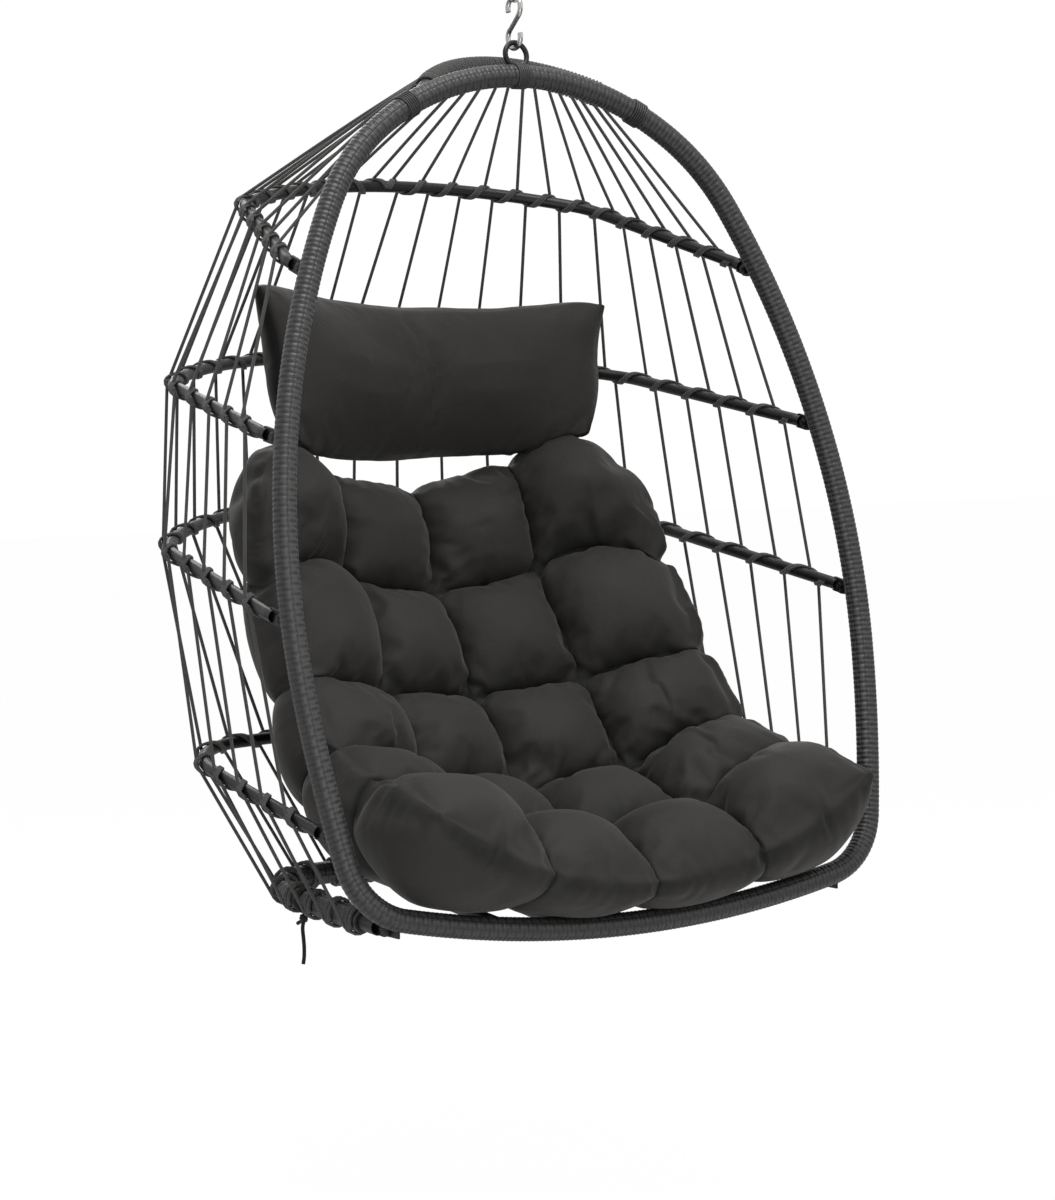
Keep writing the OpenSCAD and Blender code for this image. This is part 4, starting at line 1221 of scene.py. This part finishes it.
TIE_ALONG = 183
TIE_GAP = 0.35
KNOT_R = 6
TAIL_R = 2.45
LOOP_STRAND_R = 0.95
LOOP_LIFT = 0.6
LOOP_STRANDS = (-3.3, -1.1, 1.1, 3.3)
KNOT_STRAND_R = 2.1
KNOT_TURN_R = 3.7
knot_heart = Vector((0, -4, -WRAP_R - TIE_GAP - KNOT_R))
tail_root = Vector((0, -4, -WRAP_R - TIE_GAP - 2 * KNOT_R + 2))
TAIL_LONG = [(0, 0, 0), (0, -1, -10), (-1, 0, -22), (0, 2, -34), (1, 3, -46), (1, 2, -56)]
TAIL_SHORT = [(0, 0, 0), (5, 4, -5), (12, 6, -8), (20, 6, -10), (27, 5, -14)]


def tie_place(x, y, z):
    """A place in the tie's frame: x along the rail, y inward, z up."""
    px, py, h = path_at(hoop_path(RAIL), hoop_start(RAIL), TIE_ALONG)
    c, s = math.cos(deg(h)), math.sin(deg(h))
    return in_chair(mirrored(level_to_chair(BASE, (px + x * c - y * s, py + x * s + y * c, z))))


def smooth_line(points, count):
    """A smooth curve through the points, at count + 1 even places of its parameter."""
    pts = [Vector(p) for p in points]
    pts = [2 * pts[0] - pts[1]] + pts + [2 * pts[-1] - pts[-2]]
    line = []
    for i in range(count + 1):
        t = i / count * (len(pts) - 3)
        k = min(int(t), len(pts) - 4)
        t -= k
        a, b, c, d = pts[k : k + 4]
        bend = (2 * a - 5 * b + 4 * c - d) * t * t + (3 * b - a - 3 * c + d) * t**3
        line.append(0.5 * (2 * b + (c - a) * t + bend))
    return line


def make_tail(name, route, shift):
    path = [tie_place(*(p + tail_root + shift)) for p in smooth_line(route, 24)]
    obj = tube(name + "_ribbon", [path], TAIL_R * MM, 2)
    finish_piece(obj, black_ribbon, [name])


def make_tie():
    aside = Vector((2, KNOT_R - 2, KNOT_R - 2))
    make_tail("tie_tail_long", TAIL_LONG, Vector((0, 0, 0)))
    make_tail("tie_tail_short", TAIL_SHORT, aside)
    r = WRAP_R + TIE_GAP + LOOP_LIFT
    loop_rings = [
        [tie_place(x, r * math.cos(a), r * math.sin(a)) for a in angles(36)] for x in LOOP_STRANDS
    ]
    knot_rings = []
    for k in range(3):
        lean = k * 1.05 + 0.3
        ring = []
        for a in angles(18):
            x, up = KNOT_TURN_R * math.cos(a), KNOT_TURN_R * math.sin(a)
            turned = Vector((x, up * math.cos(lean), up * math.sin(lean)))
            ring.append(tie_place(*(knot_heart + turned)))
        knot_rings.append(ring)
    loop = tube("cushion_tie_loop", loop_rings, LOOP_STRAND_R * MM, 1, closed=True)
    knot = tube("cushion_tie_knot", knot_rings, KNOT_STRAND_R * MM, 2, closed=True)
    finish_piece(loop, black_ribbon, ["cushion_tie"])
    finish_piece(knot, black_ribbon, [])


make_tie()
make_seat()
make_pillow()


# ---- floor and light ----

FLOOR_BELOW = 0.34
FLOOR_HALF = 14
FLOOR_GLOW = 1.03
# the share of its plain white that the camera sees in the floor
FLOOR_SEEN = 0.94
WORLD_LIGHT = 0.32
WORLD_SEEN = 1.02


def make_floor():
    bm = bmesh.new()
    bmesh.ops.create_grid(bm, x_segments=8, y_segments=8, size=FLOOR_HALF)
    bmesh.ops.translate(bm, verts=bm.verts, vec=(0, 0, cad_low.z - FLOOR_BELOW))
    floor = put_mesh("floor", bm)
    f = Finish("pale_floor").set(Roughness=0.9, Base_Color=(0.86, 0.86, 0.86, 1))
    path = f.node("ShaderNodeLightPath")
    glow = f.node("ShaderNodeEmission", in_Color=(1, 1, 1, 1), in_Strength=FLOOR_GLOW)
    mix = f.node("ShaderNodeMixShader")
    f.link(f.math("MULTIPLY", path.outputs["Is Camera Ray"], FLOOR_SEEN), mix.inputs[0])
    f.link(f.bsdf.outputs[0], mix.inputs[1])
    f.link(glow.outputs[0], mix.inputs[2])
    f.link(mix.outputs[0], f.tree.nodes["Material Output"].inputs["Surface"])
    floor.data.materials.append(f.mat)


def make_world():
    """White to the camera and in reflections, and a plain soft light on everything else."""
    world = bpy.data.worlds.new("studio")
    world.use_nodes = True
    bpy.context.scene.world = world
    tree = world.node_tree
    back = tree.nodes["Background"]
    back.inputs["Color"].default_value = (1, 1, 1, 1)
    path = tree.nodes.new("ShaderNodeLightPath")
    seen = tree.nodes.new("ShaderNodeMath")
    seen.operation = "MAXIMUM"
    tree.links.new(path.outputs["Is Camera Ray"], seen.inputs[0])
    tree.links.new(path.outputs["Is Glossy Ray"], seen.inputs[1])
    level = tree.nodes.new("ShaderNodeMapRange")
    level.inputs["To Min"].default_value = WORLD_LIGHT
    level.inputs["To Max"].default_value = WORLD_SEEN
    tree.links.new(seen.outputs[0], level.inputs["Value"])
    tree.links.new(level.outputs["Result"], back.inputs["Strength"])


def lamp(name, place, target, size, watts):
    data = bpy.data.lights.new(name, "AREA")
    data.size = size
    data.energy = watts
    obj = put(name, data)
    obj.location = place
    obj.rotation_euler = (Vector(target) - Vector(place)).to_track_quat("-Z", "Y").to_euler()


make_floor()
make_world()
lamp("key", (-0.25, -0.75, 1.6), (0, -0.1, -1.2), 1.6, 74)
lamp("fill", (1.8, -2.4, 0.2), (0, 0, -1.1), 2.0, 10)
lamp("low", (-0.75, -1.35, -1.1), (0, -0.25, -1.45), 0.9, 8)
lamp("rim", (0.6, 2.6, 0.8), (0, 0, -1.0), 1.5, 25)

scene = bpy.context.scene
scene.view_settings.view_transform = "Standard"
